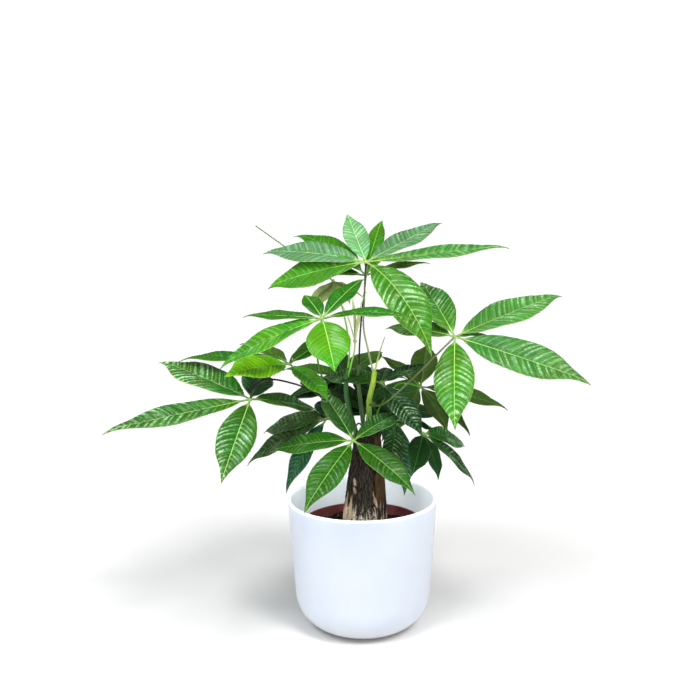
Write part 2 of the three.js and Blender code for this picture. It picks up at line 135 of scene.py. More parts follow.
def smooth_path(points: list[Point], steps: int) -> np.ndarray:
    """Evenly spaced points on a centripetal curve through the given ones.

    Args:
        points: what the curve passes through.
        steps: how many equal lengths it is cut into.

    Returns:
        An array of steps + 1 points.
    """
    given = np.array(points, float)
    knots = np.concatenate([2 * given[:1] - given[1:2], given, 2 * given[-1:] - given[-2:-1]])
    t = np.linspace(0, 1, 24, endpoint=False)[:, None]
    pieces = []
    for before, start, end, after in zip(knots, knots[1:], knots[2:], knots[3:]):
        gaps = [math.sqrt(np.linalg.norm(b - a)) for a, b in
                ((before, start), (start, end), (end, after))]
        leave = gaps[1] * ((start - before) / gaps[0] - (end - before) / (gaps[0] + gaps[1])
                           + (end - start) / gaps[1])
        reach = gaps[1] * ((end - start) / gaps[1] - (after - start) / (gaps[1] + gaps[2])
                           + (after - end) / gaps[2])
        bend = 3 * (end - start) - 2 * leave - reach
        twist = 2 * (start - end) + leave + reach
        pieces.append(start + t * leave + t**2 * bend + t**3 * twist)
    dense = np.concatenate([*pieces, given[-1:]])
    travelled = np.concatenate([[0], np.cumsum(np.linalg.norm(np.diff(dense, axis=0), axis=1))])
    wanted = np.linspace(0, travelled[-1], steps + 1)
    return np.stack([np.interp(wanted, travelled, dense[:, k]) for k in range(3)], axis=1)


class MeshDraft:
    """Closed shells gathered into one mesh, with named values at their points."""

    def __init__(self, **blanks: float | Colour) -> None:
        """Starts an empty draft.

        Args:
            blanks: each value's name, with what a point holds when a shell doesn't say.
        """
        self._blanks = blanks
        self._points: list[np.ndarray] = []
        self._faces: list[list[int]] = []
        self._values: dict[str, list[np.ndarray]] = {name: [] for name in blanks}
        self._count = 0

    def add(self, points: np.ndarray, faces: list[np.ndarray], **values: np.ndarray) -> None:
        """Adds one closed shell and turns its faces outwards.

        Args:
            points: its points, any shape that ends in 3.
            faces: arrays of corner numbers, one row a face.
            values: named values, one for each point, or one for all.
        """
        flat = np.asarray(points, float).reshape(-1, 3)
        middle = flat.mean(axis=0)
        volume = 0.0
        for rows in faces:
            a, b, c = (flat[rows[:, k]] - middle for k in (0, 1, 2))
            volume += np.einsum("ij,ij->i", a, np.cross(b, c)).sum()
            if rows.shape[1] == 4:
                d = flat[rows[:, 3]] - middle
                volume += np.einsum("ij,ij->i", a, np.cross(c, d)).sum()
        for rows in faces:
            outward = rows if volume > 0 else rows[:, ::-1]
            self._faces.extend((outward + self._count).tolist())
        self._points.append(flat)
        self._count += len(flat)
        for name, blank in self._blanks.items():
            wide = np.size(blank)
            value = np.asarray(values.get(name, blank), float)
            shape = (len(flat), wide) if wide > 1 else (len(flat),)
            whole = value.size == math.prod(shape)
            self._values[name].append(value.reshape(shape) if whole else np.broadcast_to(value, shape))

    def build(self, name: str, material: bpy.types.Material) -> bpy.types.Object:
        """Makes the smooth-shaded mesh object.

        Args:
            name: the piece's name.
            material: what it is made of.

        Returns:
            The object, linked to the scene.
        """
        mesh = bpy.data.meshes.new(name)
        mesh.from_pydata(np.concatenate(self._points).tolist(), [], self._faces)
        for value_name, parts in self._values.items():
            values = np.concatenate(parts)
            if values.ndim > 1:
                layer = mesh.attributes.new(value_name, "FLOAT_COLOR", "POINT")
                full = np.concatenate([values, np.ones((len(values), 1))], axis=1)
                layer.data.foreach_set("color", full.astype(np.float32).ravel())
            else:
                layer = mesh.attributes.new(value_name, "FLOAT", "POINT")
                layer.data.foreach_set("value", values.astype(np.float32))
        mesh.shade_smooth()
        mesh.materials.append(material)
        mesh.update()
        piece = bpy.data.objects.new(name, mesh)
        bpy.context.scene.collection.objects.link(piece)
        return piece


def grid_faces(rows: int, columns: int, ring: bool) -> np.ndarray:
    """Quads between the points of a grid that is stored row after row.

    Args:
        rows: how many rows the grid has.
        columns: how many points a row has.
        ring: whether each row closes on itself.

    Returns:
        An array of quads.
    """
    row = np.arange(rows - 1)[:, None] * columns
    column = np.arange(columns if ring else columns - 1)[None, :]
    after = (column + 1) % columns
    corners = [row + column, row + after, row + columns + after, row + columns + column]
    return np.stack(np.broadcast_arrays(*corners), axis=-1).reshape(-1, 4)


def fan_faces(ring_start: int, columns: int, tip: int, flip: bool) -> np.ndarray:
    """Triangles from one ring of points to a tip.

    Args:
        ring_start: the ring's first point.
        columns: how many points the ring has.
        tip: the tip's number.
        flip: whether the triangles turn the other way.

    Returns:
        An array of triangles.
    """
    here = ring_start + np.arange(columns)
    after = ring_start + (np.arange(columns) + 1) % columns
    sides = (after, here) if flip else (here, after)
    return np.stack([*sides, np.full(columns, tip)], axis=1)


def capped_rings(rings: np.ndarray, first: np.ndarray, last: np.ndarray) -> tuple[np.ndarray, list]:
    """A closed shell of rings with a tip at each end.

    Args:
        rings: points as rows of closed rings.
        first: the tip before the first ring.
        last: the tip after the last ring.

    Returns:
        The points, and their faces.
    """
    rows, columns = rings.shape[:2]
    points = np.concatenate([rings.reshape(-1, 3), first[None], last[None]])
    count = rows * columns
    faces = [
        grid_faces(rows, columns, ring=True),
        fan_faces(0, columns, count, flip=True),
        fan_faces(count - columns, columns, count + 1, flip=False),
    ]
    return points, faces


def lathe(profile: np.ndarray, sides: int) -> tuple[np.ndarray, list]:
    """A turned shell about the Z axis.

    Args:
        profile: radius and height pairs, with the first and last on the axis.
        sides: how many steps it takes round.

    Returns:
        The points, and their faces.
    """
    angles = 2 * np.pi * np.arange(sides) / sides
    radius, height = profile[1:-1, 0:1], profile[1:-1, 1:2]
    rings = np.stack(np.broadcast_arrays(
        radius * np.cos(angles), radius * np.sin(angles), height), axis=-1)
    first, last = (np.array([0.0, 0.0, z]) for z in (profile[0, 1], profile[-1, 1]))
    return capped_rings(rings, first, last)


def corner(centre: tuple[float, float], radius: float, start: float, end: float,
           steps: int) -> np.ndarray:
    """Radius and height pairs along a round corner of a profile.

    Args:
        centre: the corner's centre.
        radius: the corner's radius.
        start: its first angle, in degrees.
        end: its last angle, in degrees.
        steps: how many pieces it has.

    Returns:
        An array of pairs.
    """
    angles = np.radians(np.linspace(start, end, steps + 1))
    return np.stack([centre[0] + radius * np.cos(angles), centre[1] + radius * np.sin(angles)], axis=1)


def tube(path: np.ndarray, radius: np.ndarray, sides: int) -> tuple[np.ndarray, list]:
    """A closed round tube whose rings don't twist.

    Args:
        path: the points of its middle line.
        radius: its radius at each of them.
        sides: how many steps it takes round.

    Returns:
        The points, and their faces.
    """
    along = np.gradient(path, axis=0)
    along /= np.linalg.norm(along, axis=1)[:, None]
    across = unit(np.cross(along[0], ASKEW))
    angles = 2 * np.pi * np.arange(sides) / sides
    rings = []
    for centre, way, size in zip(path, along, radius):
        across = unit(across - way * (across @ way))
        other = np.cross(way, across)
        rings.append(centre + size * (np.cos(angles)[:, None] * across + np.sin(angles)[:, None] * other))
    return capped_rings(np.array(rings), path[0], path[-1])


class Bench:
    """One material's nodes, laid and joined in short calls."""

    def __init__(self, name: str, roughness: float, **sockets: float) -> None:
        """Starts a material whose uniform values sit on its shader's own sockets.

        Args:
            name: the material's name.
            roughness: its plain roughness.
            sockets: other socket values, with _ for a space in each name.
        """
        self.material = bpy.data.materials.new(name)
        self.material.use_nodes = True
        self.tree = self.material.node_tree
        self.shader = self.tree.nodes["Principled BSDF"]
        self.shader.inputs["Roughness"].default_value = roughness
        for socket, value in sockets.items():
            self.shader.inputs[socket.replace("_", " ")].default_value = value
        self.place = self.node("ShaderNodeTexCoord").outputs["Object"]

    def node(self, kind: str, **settings: object) -> bpy.types.Node:
        """Adds a node.

        Args:
            kind: the node's type.
            settings: what is set on it.

        Returns:
            The node.
        """
        made = self.tree.nodes.new(kind)
        for setting, value in settings.items():
            setattr(made, setting, value)
        return made

    def feed(self, socket: bpy.types.NodeSocket, value: object) -> None:
        """Joins a socket to another, or sets its own value.

        Args:
            socket: the socket that is fed.
            value: another socket, a tone, a colour or a number.
        """
        if isinstance(value, bpy.types.NodeSocket):
            self.tree.links.new(value, socket)
        elif isinstance(value, Tone):
            socket.default_value = (*value.value, 1.0)
        elif isinstance(value, tuple):
            socket.default_value = (*value, 1.0)
        else:
            socket.default_value = value

    def value(self, name: str) -> bpy.types.NodeSocket:
        """A named number of the mesh's points."""
        return self.node("ShaderNodeAttribute", attribute_name=name).outputs["Fac"]

    def colour(self, name: str) -> bpy.types.NodeSocket:
        """A named colour of the mesh's points."""
        return self.node("ShaderNodeAttribute", attribute_name=name).outputs["Color"]

    def stretched(self, stretch: Point) -> bpy.types.NodeSocket:
        """The place on the object, stretched.

        Args:
            stretch: how much along each axis.

        Returns:
            The stretched place.
        """
        mapping = self.node("ShaderNodeMapping")
        self.feed(mapping.inputs["Vector"], self.place)
        mapping.inputs["Scale"].default_value = stretch
        return mapping.outputs["Vector"]

    def noise(self, scale: float, detail: float = 3.0, stretch: Point = (1, 1, 1)) -> bpy.types.NodeSocket:
        """Cloudy noise.

        Args:
            scale: its waves in a metre.
            detail: how many finer layers it has.
            stretch: how much denser it is along each axis.

        Returns:
            A value about 0.5.
        """
        made = self.node("ShaderNodeTexNoise")
        self.feed(made.inputs["Vector"], self.stretched(stretch))
        made.inputs["Scale"].default_value = scale
        made.inputs["Detail"].default_value = detail
        return made.outputs["Fac"]

    def cells(self, scale: float, feature: str = "DISTANCE_TO_EDGE") -> bpy.types.NodeSocket:
        """Random cells.

        Args:
            scale: how many there are in a metre.
            feature: whether their edges or their middles are measured from.

        Returns:
            The distance from there.
        """
        made = self.node("ShaderNodeTexVoronoi", feature=feature)
        self.feed(made.inputs["Vector"], self.place)
        made.inputs["Scale"].default_value = scale
        return made.outputs["Distance"]

    def math(self, operation: str, first: object, second: object = 0.0) -> bpy.types.NodeSocket:
        """One step of arithmetic.

        Args:
            operation: its name.
            first: its first value.
            second: its second value.

        Returns:
            The result.
        """
        made = self.node("ShaderNodeMath", operation=operation)
        self.feed(made.inputs[0], first)
        self.feed(made.inputs[1], second)
        return made.outputs[0]

    def span(self, value: object, low: float, high: float, start: float = 0.0,
             end: float = 1.0) -> bpy.types.NodeSocket:
        """Turns low to high into start to end, smoothly and no further.

        Args:
            value: what is turned.
            low: where it starts.
            high: where it ends.
            start: what low becomes.
            end: what high becomes.

        Returns:
            The turned value.
        """
        made = self.node("ShaderNodeMapRange", interpolation_type="SMOOTHSTEP")
        for socket, given in zip(made.inputs, (value, low, high, start, end)):
            self.feed(socket, given)
        return made.outputs[0]

    def mix(self, share: object, first: object, second: object, kind: str = "MIX") -> bpy.types.NodeSocket:
        """Mixes two colours.

        Args:
            share: how much of the second shows.
            first: the colour below.
            second: the colour above.
            kind: the way of mixing.

        Returns:
            The mixed colour.
        """
        made = self.node("ShaderNodeMix", data_type="RGBA", blend_type=kind)
        # A Mix node's colours are its inputs 6 and 7 and its output 2.
        for place, given in ((0, share), (6, first), (7, second)):
            self.feed(made.inputs[place], given)
        return made.outputs[2]

    def varied(self, colour: object, value: object, hue: object = 0.5) -> bpy.types.NodeSocket:
        """Shifts a colour's brightness and hue from place to place.

        Args:
            colour: the colour that is shifted.
            value: what its brightness is multiplied by.
            hue: its turn of hue, where 0.5 is none.

        Returns:
            The shifted colour.
        """
        made = self.node("ShaderNodeHueSaturation")
        self.feed(made.inputs["Hue"], hue)
        self.feed(made.inputs["Value"], value)
        self.feed(made.inputs["Color"], colour)
        return made.outputs["Color"]

    def bump(self, height: object, depth: float, strength: float,
             over: object = None) -> bpy.types.NodeSocket:
        """Relief in the shading.

        Args:
            height: the relief's height, from 0 to 1.
            depth: what 1 means, in metres.
            strength: how strongly it shows.
            over: the relief that it lies on.

        Returns:
            The bent normal.
        """
        made = self.node("ShaderNodeBump")
        made.inputs["Strength"].default_value = strength
        made.inputs["Distance"].default_value = depth
        self.feed(made.inputs["Height"], height)
        if over is not None:
            self.feed(made.inputs["Normal"], over)
        return made.outputs["Normal"]

    def finish(self, colour: object, roughness: object, normal: object) -> bpy.types.Material:
        """Joins the shader up.

        Args:
            colour: its base colour.
            roughness: its roughness.
            normal: its bent normal.

        Returns:
            The finished material.
        """
        self.feed(self.shader.inputs["Base Color"], colour)
        self.feed(self.shader.inputs["Roughness"], roughness)
        self.feed(self.shader.inputs["Normal"], normal)
        return self.material


@dataclass(frozen=True)
class LeafFinish:
    """A quilted leaf: tinted blades with pale veins, painted shade in the grooves, a painted sheen on the
    swellings and a duller underside.
    """

    slot: Slot
    rib: Colour = (0.460, 0.700, 0.170)
    underside: Colour = (0.066, 0.150, 0.030)
    roughness: float = 0.30
    under_roughness: float = 0.55
    groove_painted_shade: float = 0.6
    gloss: float = 0.16
    subsurface: float = 0.05

    def material(self) -> bpy.types.Material:
        """Lays the leaf's nodes, which the blades' own values drive.

        Returns:
            The leaf material.
        """
        bench = Bench(self.slot.value, self.roughness, Subsurface_Weight=self.subsurface,
                      Subsurface_Scale=0.002, Specular_IOR_Level=0.1, Coat_Weight=self.gloss,
                      Coat_Roughness=0.16)
        blade, under = bench.value("blade"), bench.value("under")
        vein, rib = bench.value("vein"), bench.value("rib")
        to_vein = bench.math("PINGPONG", vein, 0.5)
        groove = bench.math("MULTIPLY", bench.span(to_vein, 0.01, 0.10, 1, 0), blade)
        crest = bench.math("MULTIPLY", bench.span(to_vein, 0.25, 0.5), blade)
        cloud, speck = bench.noise(38, 4), bench.noise(520, 2)
        net = bench.cells(460)

        light = bench.math("ADD", bench.span(cloud, 0.3, 0.7, 0.82, 1.16),
                           bench.span(speck, 0.2, 0.8, -0.05, 0.05))
        hue = bench.span(bench.noise(24, 2), 0.3, 0.7, 0.488, 0.512)
        colour = bench.varied(bench.colour("tint"), light, hue)
        # Painted shade: the blade's colour darkens towards each vein groove and stays full on the swellings'
        # crests.
        dark = bench.varied(colour, 1.0 - self.groove_painted_shade)
        colour = bench.mix(bench.span(crest, 0, 1, 0.6, 0), colour, dark)
        colour = bench.mix(bench.math("MULTIPLY", groove, 0.12), colour, self.rib)
        # Painted sheen: pale mint bands mixed into the colour where the sky's reflection would lie.
        colour = bench.mix(self.frosting(bench, vein), colour, Tone.SHEEN)
        colour = bench.mix(bench.math("MULTIPLY", under, 0.45), colour, self.underside)
        on_rib = bench.math("MULTIPLY", bench.span(rib, 0.35, 0.85, 1, 0), blade)
        colour = bench.mix(bench.math("MULTIPLY", on_rib, 0.9), colour,
                           bench.mix(0.2, self.rib, bench.colour("tint")))
        margin = bench.math("MULTIPLY", bench.span(bench.value("edge"), 0.95, 1.0), blade)
        colour = bench.mix(bench.math("MULTIPLY", margin, 0.35), colour, self.rib)
        tip = bench.math("MULTIPLY", bench.span(bench.value("along"), 0.965, 1.0), blade)
        colour = bench.mix(bench.math("MULTIPLY", tip, 0.55), colour, Tone.BROWN)

        dull = bench.span(under, 0, 1, self.roughness, self.under_roughness)
        rough = bench.math("ADD", dull, bench.span(bench.noise(90, 3), 0.25, 0.75, -0.05, 0.12))
        crinkle = bench.noise(330, 2)
        relief = bench.bump(crinkle, 0.0009, 0.35)
        relief = bench.bump(bench.span(net, 0, 0.25), 0.00025, 0.35, relief)
        relief = bench.bump(groove, -0.0004, 0.6, relief)
        relief = bench.bump(speck, 0.0001, 0.3, relief)
        return bench.finish(colour, rough, relief)

    def frosting(self, bench: Bench, vein: bpy.types.NodeSocket) -> bpy.types.NodeSocket:
        """The painted sheen on one side of each swelling between two veins: pale bands that stand in for the
        sky's reflection.

        Args:
            bench: the leaf's nodes.
            vein: the place between the veins, one whole number for each.

        Returns:
            How much of the painted sheen shows, from 0 to 1.
        """
        place = bench.math("FRACT", vein)
        band = bench.math("MULTIPLY", bench.span(place, 0.14, 0.34), bench.span(place, 0.46, 0.82, 1, 0))
        patchy = bench.span(bench.noise(360, 3), 0.40, 0.60, 0.30, 1.0)
        broad = bench.span(bench.noise(55, 2), 0.38, 0.58, 0.30, 1.0)
        share = bench.math("MULTIPLY", bench.math("MULTIPLY", band, patchy), broad)
        return bench.math("MULTIPLY", share, bench.value("frost"))


@dataclass(frozen=True)
class StemFinish:
    """A young stem: smooth, faintly streaked, with small pores."""

    slot: Slot = Slot.STEM
    scar: Colour = (0.045, 0.033, 0.015)
    roughness: float = 0.42

    def material(self) -> bpy.types.Material:
        """Lays the stem's nodes, which the stems' own tint drives.

        Returns:
            The stem material.
        """
        bench = Bench(self.slot.value, self.roughness, Subsurface_Weight=0.06, Subsurface_Scale=0.002)
        streaks, cloud = bench.noise(900, 2, (1, 1, 0.08)), bench.noise(110, 3)
        light = bench.math("ADD", bench.span(streaks, 0.3, 0.7, 0.86, 1.1),
                           bench.span(cloud, 0.3, 0.7, -0.12, 0.12))
        colour = bench.varied(bench.colour("tint"), light)
        pores = bench.span(bench.cells(420, "F1"), 0.08, 0.2, 1, 0)
        colour = bench.mix(bench.math("MULTIPLY", pores, 0.4), colour, Tone.BROWN)
        colour = bench.mix(bench.value("scar"), colour, self.scar)
        rough = bench.span(cloud, 0.3, 0.7, self.roughness - 0.06, self.roughness + 0.14)
        return bench.finish(colour, rough, bench.bump(streaks, 0.0002, 0.4, bench.bump(pores, 0.0002, 0.3)))


@dataclass(frozen=True)
class BarkFinish:
    """Fissured bark: dark cracks, grey-brown plates, tan scars and pale flecks near the soil."""

    slot: Slot = Slot.BARK
    crack: Colour = (0.007, 0.006, 0.005)
    plate: Colour = (0.018, 0.013, 0.009)
    crest: Colour = (0.042, 0.036, 0.027)
    bare: Colour = (0.068, 0.039, 0.017)
    scar: Colour = (0.660, 0.500, 0.340)
    fleck: Colour = (0.820, 0.730, 0.550)
    roughness: float = 0.88

    def material(self) -> bpy.types.Material:
        """Lays the bark's nodes, which the trunk's own relief drives.

        Returns:
            The bark material.
        """
        bench = Bench(self.slot.value, self.roughness, Specular_IOR_Level=0.1)
        grain, fine = bench.noise(420, 4, (1, 1, 0.22)), bench.noise(1500, 3, (1, 1, 0.5))
        height = bench.value("relief")
        colour = bench.mix(bench.span(height, 0.12, 0.55), self.crack, self.plate)
        colour = bench.mix(bench.span(bench.math("ADD", height, grain), 1.05, 1.5), colour, self.crest)
        colour = bench.mix(bench.value("bare"), colour,
                           bench.varied(self.bare, bench.span(grain, 0.3, 0.7, 0.6, 1.35)))
        colour = bench.mix(bench.value("patch"), colour,
                           bench.varied(self.scar, bench.span(grain, 0.3, 0.7, 0.55, 1.2)))
        mottle = bench.noise(480, 3, (1, 1, 0.5))
        fleck = bench.math("MULTIPLY", bench.value("fleck"), bench.span(mottle, 0.42, 0.58))
        colour = bench.mix(fleck, colour, self.fleck)
        colour = bench.varied(colour, bench.span(fine, 0.25, 0.75, 0.72, 1.25))
        rough = bench.span(grain, 0.3, 0.7, self.roughness - 0.1, 1.0)
        return bench.finish(colour, rough, bench.bump(fine, 0.0005, 0.7, bench.bump(grain, 0.0012, 0.8)))


@dataclass(frozen=True)
class SoilFinish:
    """Dark potting soil with brown clods and a few pale grains."""

    slot: Slot = Slot.SOIL
    dark: Colour = (0.015, 0.007, 0.006)
    light: Colour = (0.090, 0.057, 0.033)
    grain: Colour = (0.480, 0.470, 0.440)
    roughness: float = 0.95

    def material(self) -> bpy.types.Material:
        """Lays the soil's nodes, with pale grains where the mesh says.

        Returns:
            The soil material.
        """
        bench = Bench(self.slot.value, self.roughness, Specular_IOR_Level=0.2)
        clods, fine = bench.noise(260, 5), bench.noise(1400, 3)
        colour = bench.mix(bench.span(clods, 0.35, 0.7), self.dark, self.light)
        colour = bench.varied(colour, bench.span(fine, 0.3, 0.7, 0.6, 1.5))
        pale = bench.varied(self.grain, bench.span(fine, 0.3, 0.7, 0.75, 1.1))
        colour = bench.mix(bench.value("grain"), colour, pale)
        rough = bench.span(fine, 0.3, 0.7, 0.85, 1.0)
        return bench.finish(colour, rough, bench.bump(fine, 0.0006, 0.8, bench.bump(clods, 0.0015, 0.6)))


@dataclass(frozen=True)
class GlazeFinish:
    """White satin glaze with a faint blue tint, slightly uneven, warmer near the table, with a painted
    highlight along the lip's top and painted light on the inner face.
    """

    slot: Slot = Slot.GLAZE
    white: Colour = (0.550, 0.590, 0.660)
    cool: Colour = (0.520, 0.565, 0.655)
    warm: Colour = (0.620, 0.600, 0.590)
    # A brighter white painted along the lip's top as a highlight.
    lip: Colour = (0.800, 0.840, 0.900)
    # A much brighter white that paints light onto the inner face.
    inside: Colour = (0.860, 0.940, 1.000)
    speck: Colour = (0.450, 0.440, 0.420)
    scatter: Colour = (0.9, 1.0, 1.1)
    warm_height: float = 0.03
    lip_highlight_heights: tuple[float, float] = (0.1405, 0.1425)
    roughness: float = 0.34

    def material(self) -> bpy.types.Material:
        """Lays the glaze's nodes.

        Returns:
            The glaze material.
        """
        bench = Bench(self.slot.value, self.roughness, Coat_Weight=0.25, Coat_Roughness=0.25,
                      Subsurface_Weight=0.7, Subsurface_Scale=0.009)
        bench.shader.inputs["Subsurface Radius"].default_value = self.scatter
        pool, pits = bench.noise(14, 3), bench.noise(900, 2)
        orange_peel = bench.noise(160, 2)
        colour = bench.mix(bench.span(pool, 0.3, 0.7), self.white, self.cool)
        height = bench.node("ShaderNodeSeparateXYZ")
        bench.feed(height.inputs[0], bench.place)
        colour = bench.mix(bench.span(height.outputs["Z"], 0.0, self.warm_height, 0.7, 0), colour, self.warm)
        # Painted highlight: the top of the lip turns to the brighter lip white.
        colour = bench.mix(bench.span(height.outputs["Z"], *self.lip_highlight_heights, 0, 0.8), colour, self.lip)
        # Painted light: the inner face, which the mesh's inside value marks, takes the much brighter inside
        # white.
        inside = bench.varied(self.inside, bench.span(pool, 0.3, 0.7, 0.96, 1.04))
        colour = bench.mix(bench.value("inside"), colour, inside)
        specks = bench.span(bench.cells(75, "F1"), 0.02, 0.035, 0.35, 0)
        colour = bench.mix(specks, colour, self.speck)
        rough = bench.span(pool, 0.25, 0.75, self.roughness - 0.06, self.roughness + 0.1)
        return bench.finish(colour, rough,
                            bench.bump(pits, 0.00006, 0.25, bench.bump(orange_peel, 0.0003, 0.2)))


@dataclass(frozen=True)
class NurseryFinish:
    """Red-brown moulded plastic, scuffed and dusty from the potting bench."""

    slot: Slot = Slot.NURSERY
    base: Colour = (0.300, 0.054, 0.054)
    scuffed: Colour = (0.450, 0.150, 0.135)
    dust: Colour = (0.300, 0.195, 0.135)
    roughness: float = 0.48

    def material(self) -> bpy.types.Material:
        """Lays the plastic's nodes.

        Returns:
            The plastic material.
        """
        bench = Bench(self.slot.value, self.roughness)
        cloud, grit = bench.noise(60, 4), bench.noise(800, 3)
        scratches = bench.noise(300, 2, (1, 1, 6))
        colour = bench.varied(self.base, bench.span(cloud, 0.3, 0.7, 0.75, 1.25))
        colour = bench.mix(bench.span(scratches, 0.62, 0.75, 0, 0.6), colour, self.scuffed)
        dusty = bench.math("MULTIPLY", bench.span(cloud, 0.45, 0.7), bench.span(grit, 0.45, 0.65))
        colour = bench.mix(bench.math("MULTIPLY", dusty, 0.6), colour, self.dust)
        rough = bench.math("ADD", self.roughness - 0.05, bench.span(dusty, 0, 1, 0.0, 0.35))
        return bench.finish(colour, rough,
                            bench.bump(grit, 0.00012, 0.4, bench.bump(scratches, 0.0001, 0.3)))


@dataclass(frozen=True)
class FloorFinish:
    """Plain pale studio floor."""

    pale: Colour = (0.94, 0.94, 0.94)
    roughness: float = 0.85

    def material(self) -> bpy.types.Material:
        """Lays the floor's nodes.

        Returns:
            The floor material.
        """
        bench = Bench("studio_floor", self.roughness, Specular_IOR_Level=0.0)
        grain = bench.noise(6, 3)
        colour = bench.varied(self.pale, bench.span(grain, 0.3, 0.7, 0.99, 1.01))
        return bench.finish(colour, self.roughness, bench.bump(grain, 0.0005, 0.05))


def publish(piece: bpy.types.Object, node: str) -> None:
    """Puts a finished piece in the place of its solid, and reports it.

    Args:
        piece: the finished piece.
        node: the solid that it stands for.
    """
    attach(piece, "root")
    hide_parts(node)
    sizes = " x ".join(f"{side / MM:.0f}" for side in np.ptp(np.array(piece.bound_box), axis=0))
    LOG.info("%s: %d faces, %s mm", piece.name, len(piece.data.polygons), sizes)


def spare(name: str, pieces: list[bpy.types.Object]) -> bpy.types.Collection:
    """Makes the list that keeps pieces out of a lamp's light, or out of its shadows.

    Args:
        name: the list's name.
        pieces: what is kept out.

    Returns:
        The list, as a collection.
    """
    spared = bpy.data.collections.new(name)
    for piece in pieces:
        spared.objects.link(piece)
    for link in spared.collection_objects:
        link.light_linking.link_state = "EXCLUDE"
    return spared


@dataclass
class Planter:
    """The round-bottomed outer pot with its soft lip. Sizes in millimetres."""

    height: float = 144
    rim_radius: float = 80
    lower_radius: float = 73.5
    base_rounding: float = 43
    wall: float = 3.6
    floor: float = 4
    lip: float = 1.7
    lip_rows: int = 4
    sides: int = 176
    finish: GlazeFinish = field(default_factory=GlazeFinish)

    def profile(self) -> np.ndarray:
        """The wall's outline from under the floor, over the lip, to inside the floor.

        Returns:
            Radius and height pairs, in metres.
        """
        flat = self.lower_radius - self.base_rounding
        inner = self.base_rounding - self.wall
        lip_height = self.height - self.lip
        walls = [
            [[0, 0], [flat * 0.5, 0]],
            corner((flat, self.base_rounding), self.base_rounding, -90, 0, 18),
            self.straight(self.base_rounding, lip_height, 0, 10),
            corner((self.rim_radius - self.lip, lip_height), self.lip, 0, 90, 6),
            corner((self.rim_radius - self.wall + self.lip, lip_height), self.lip, 90, 180, 6),
            self.straight(lip_height, self.floor + inner, self.wall, 10),
            corner((flat, self.floor + inner), inner, 0, -90, 14),
            [[flat * 0.5, self.floor], [0, self.floor]],
        ]
        return np.concatenate([np.asarray(part, float) for part in walls]) * MM

    def inside(self, profile: np.ndarray) -> np.ndarray:
        """Which points of the turned shell are on the inner face, by their place in the outline.

        Args:
            profile: the outline.

        Returns:
            1 for each point of the inner face, and 0 for the others.
        """
        turned = np.argmax(profile[:, 1]) + self.lip_rows
        rows = (np.arange(1, len(profile) - 1) > turned).astype(float)
        return np.append(np.repeat(rows, self.sides), [0.0, 1.0])

    def straight(self, start: float, end: float, inset: float, steps: int) -> list:
        """Points of the slightly flared wall between two heights, without its ends.

        Args:
            start: the first height.
            end: the last height.
            inset: how far inside the outer face it lies.
            steps: how many points it has.

        Returns:
            Radius and height pairs.
        """
        heights = np.linspace(start, end, steps + 2)[1:-1]
        low, high = self.base_rounding, self.height - self.lip
        flare = (heights - low) / (high - low)
        return [[self.lower_radius + (self.rim_radius - self.lower_radius) * share - inset, z]
                for share, z in zip(flare, heights)]

    def build(self) -> None:
        """Builds, dresses and publishes the planter."""
        draft, profile = MeshDraft(inside=0.0), self.profile()
        # The inside value marks the inner face, where the glaze paints light.
        draft.add(*lathe(profile, self.sides), inside=self.inside(profile))
        publish(draft.build("planter_glazed", self.finish.material()), "planter")


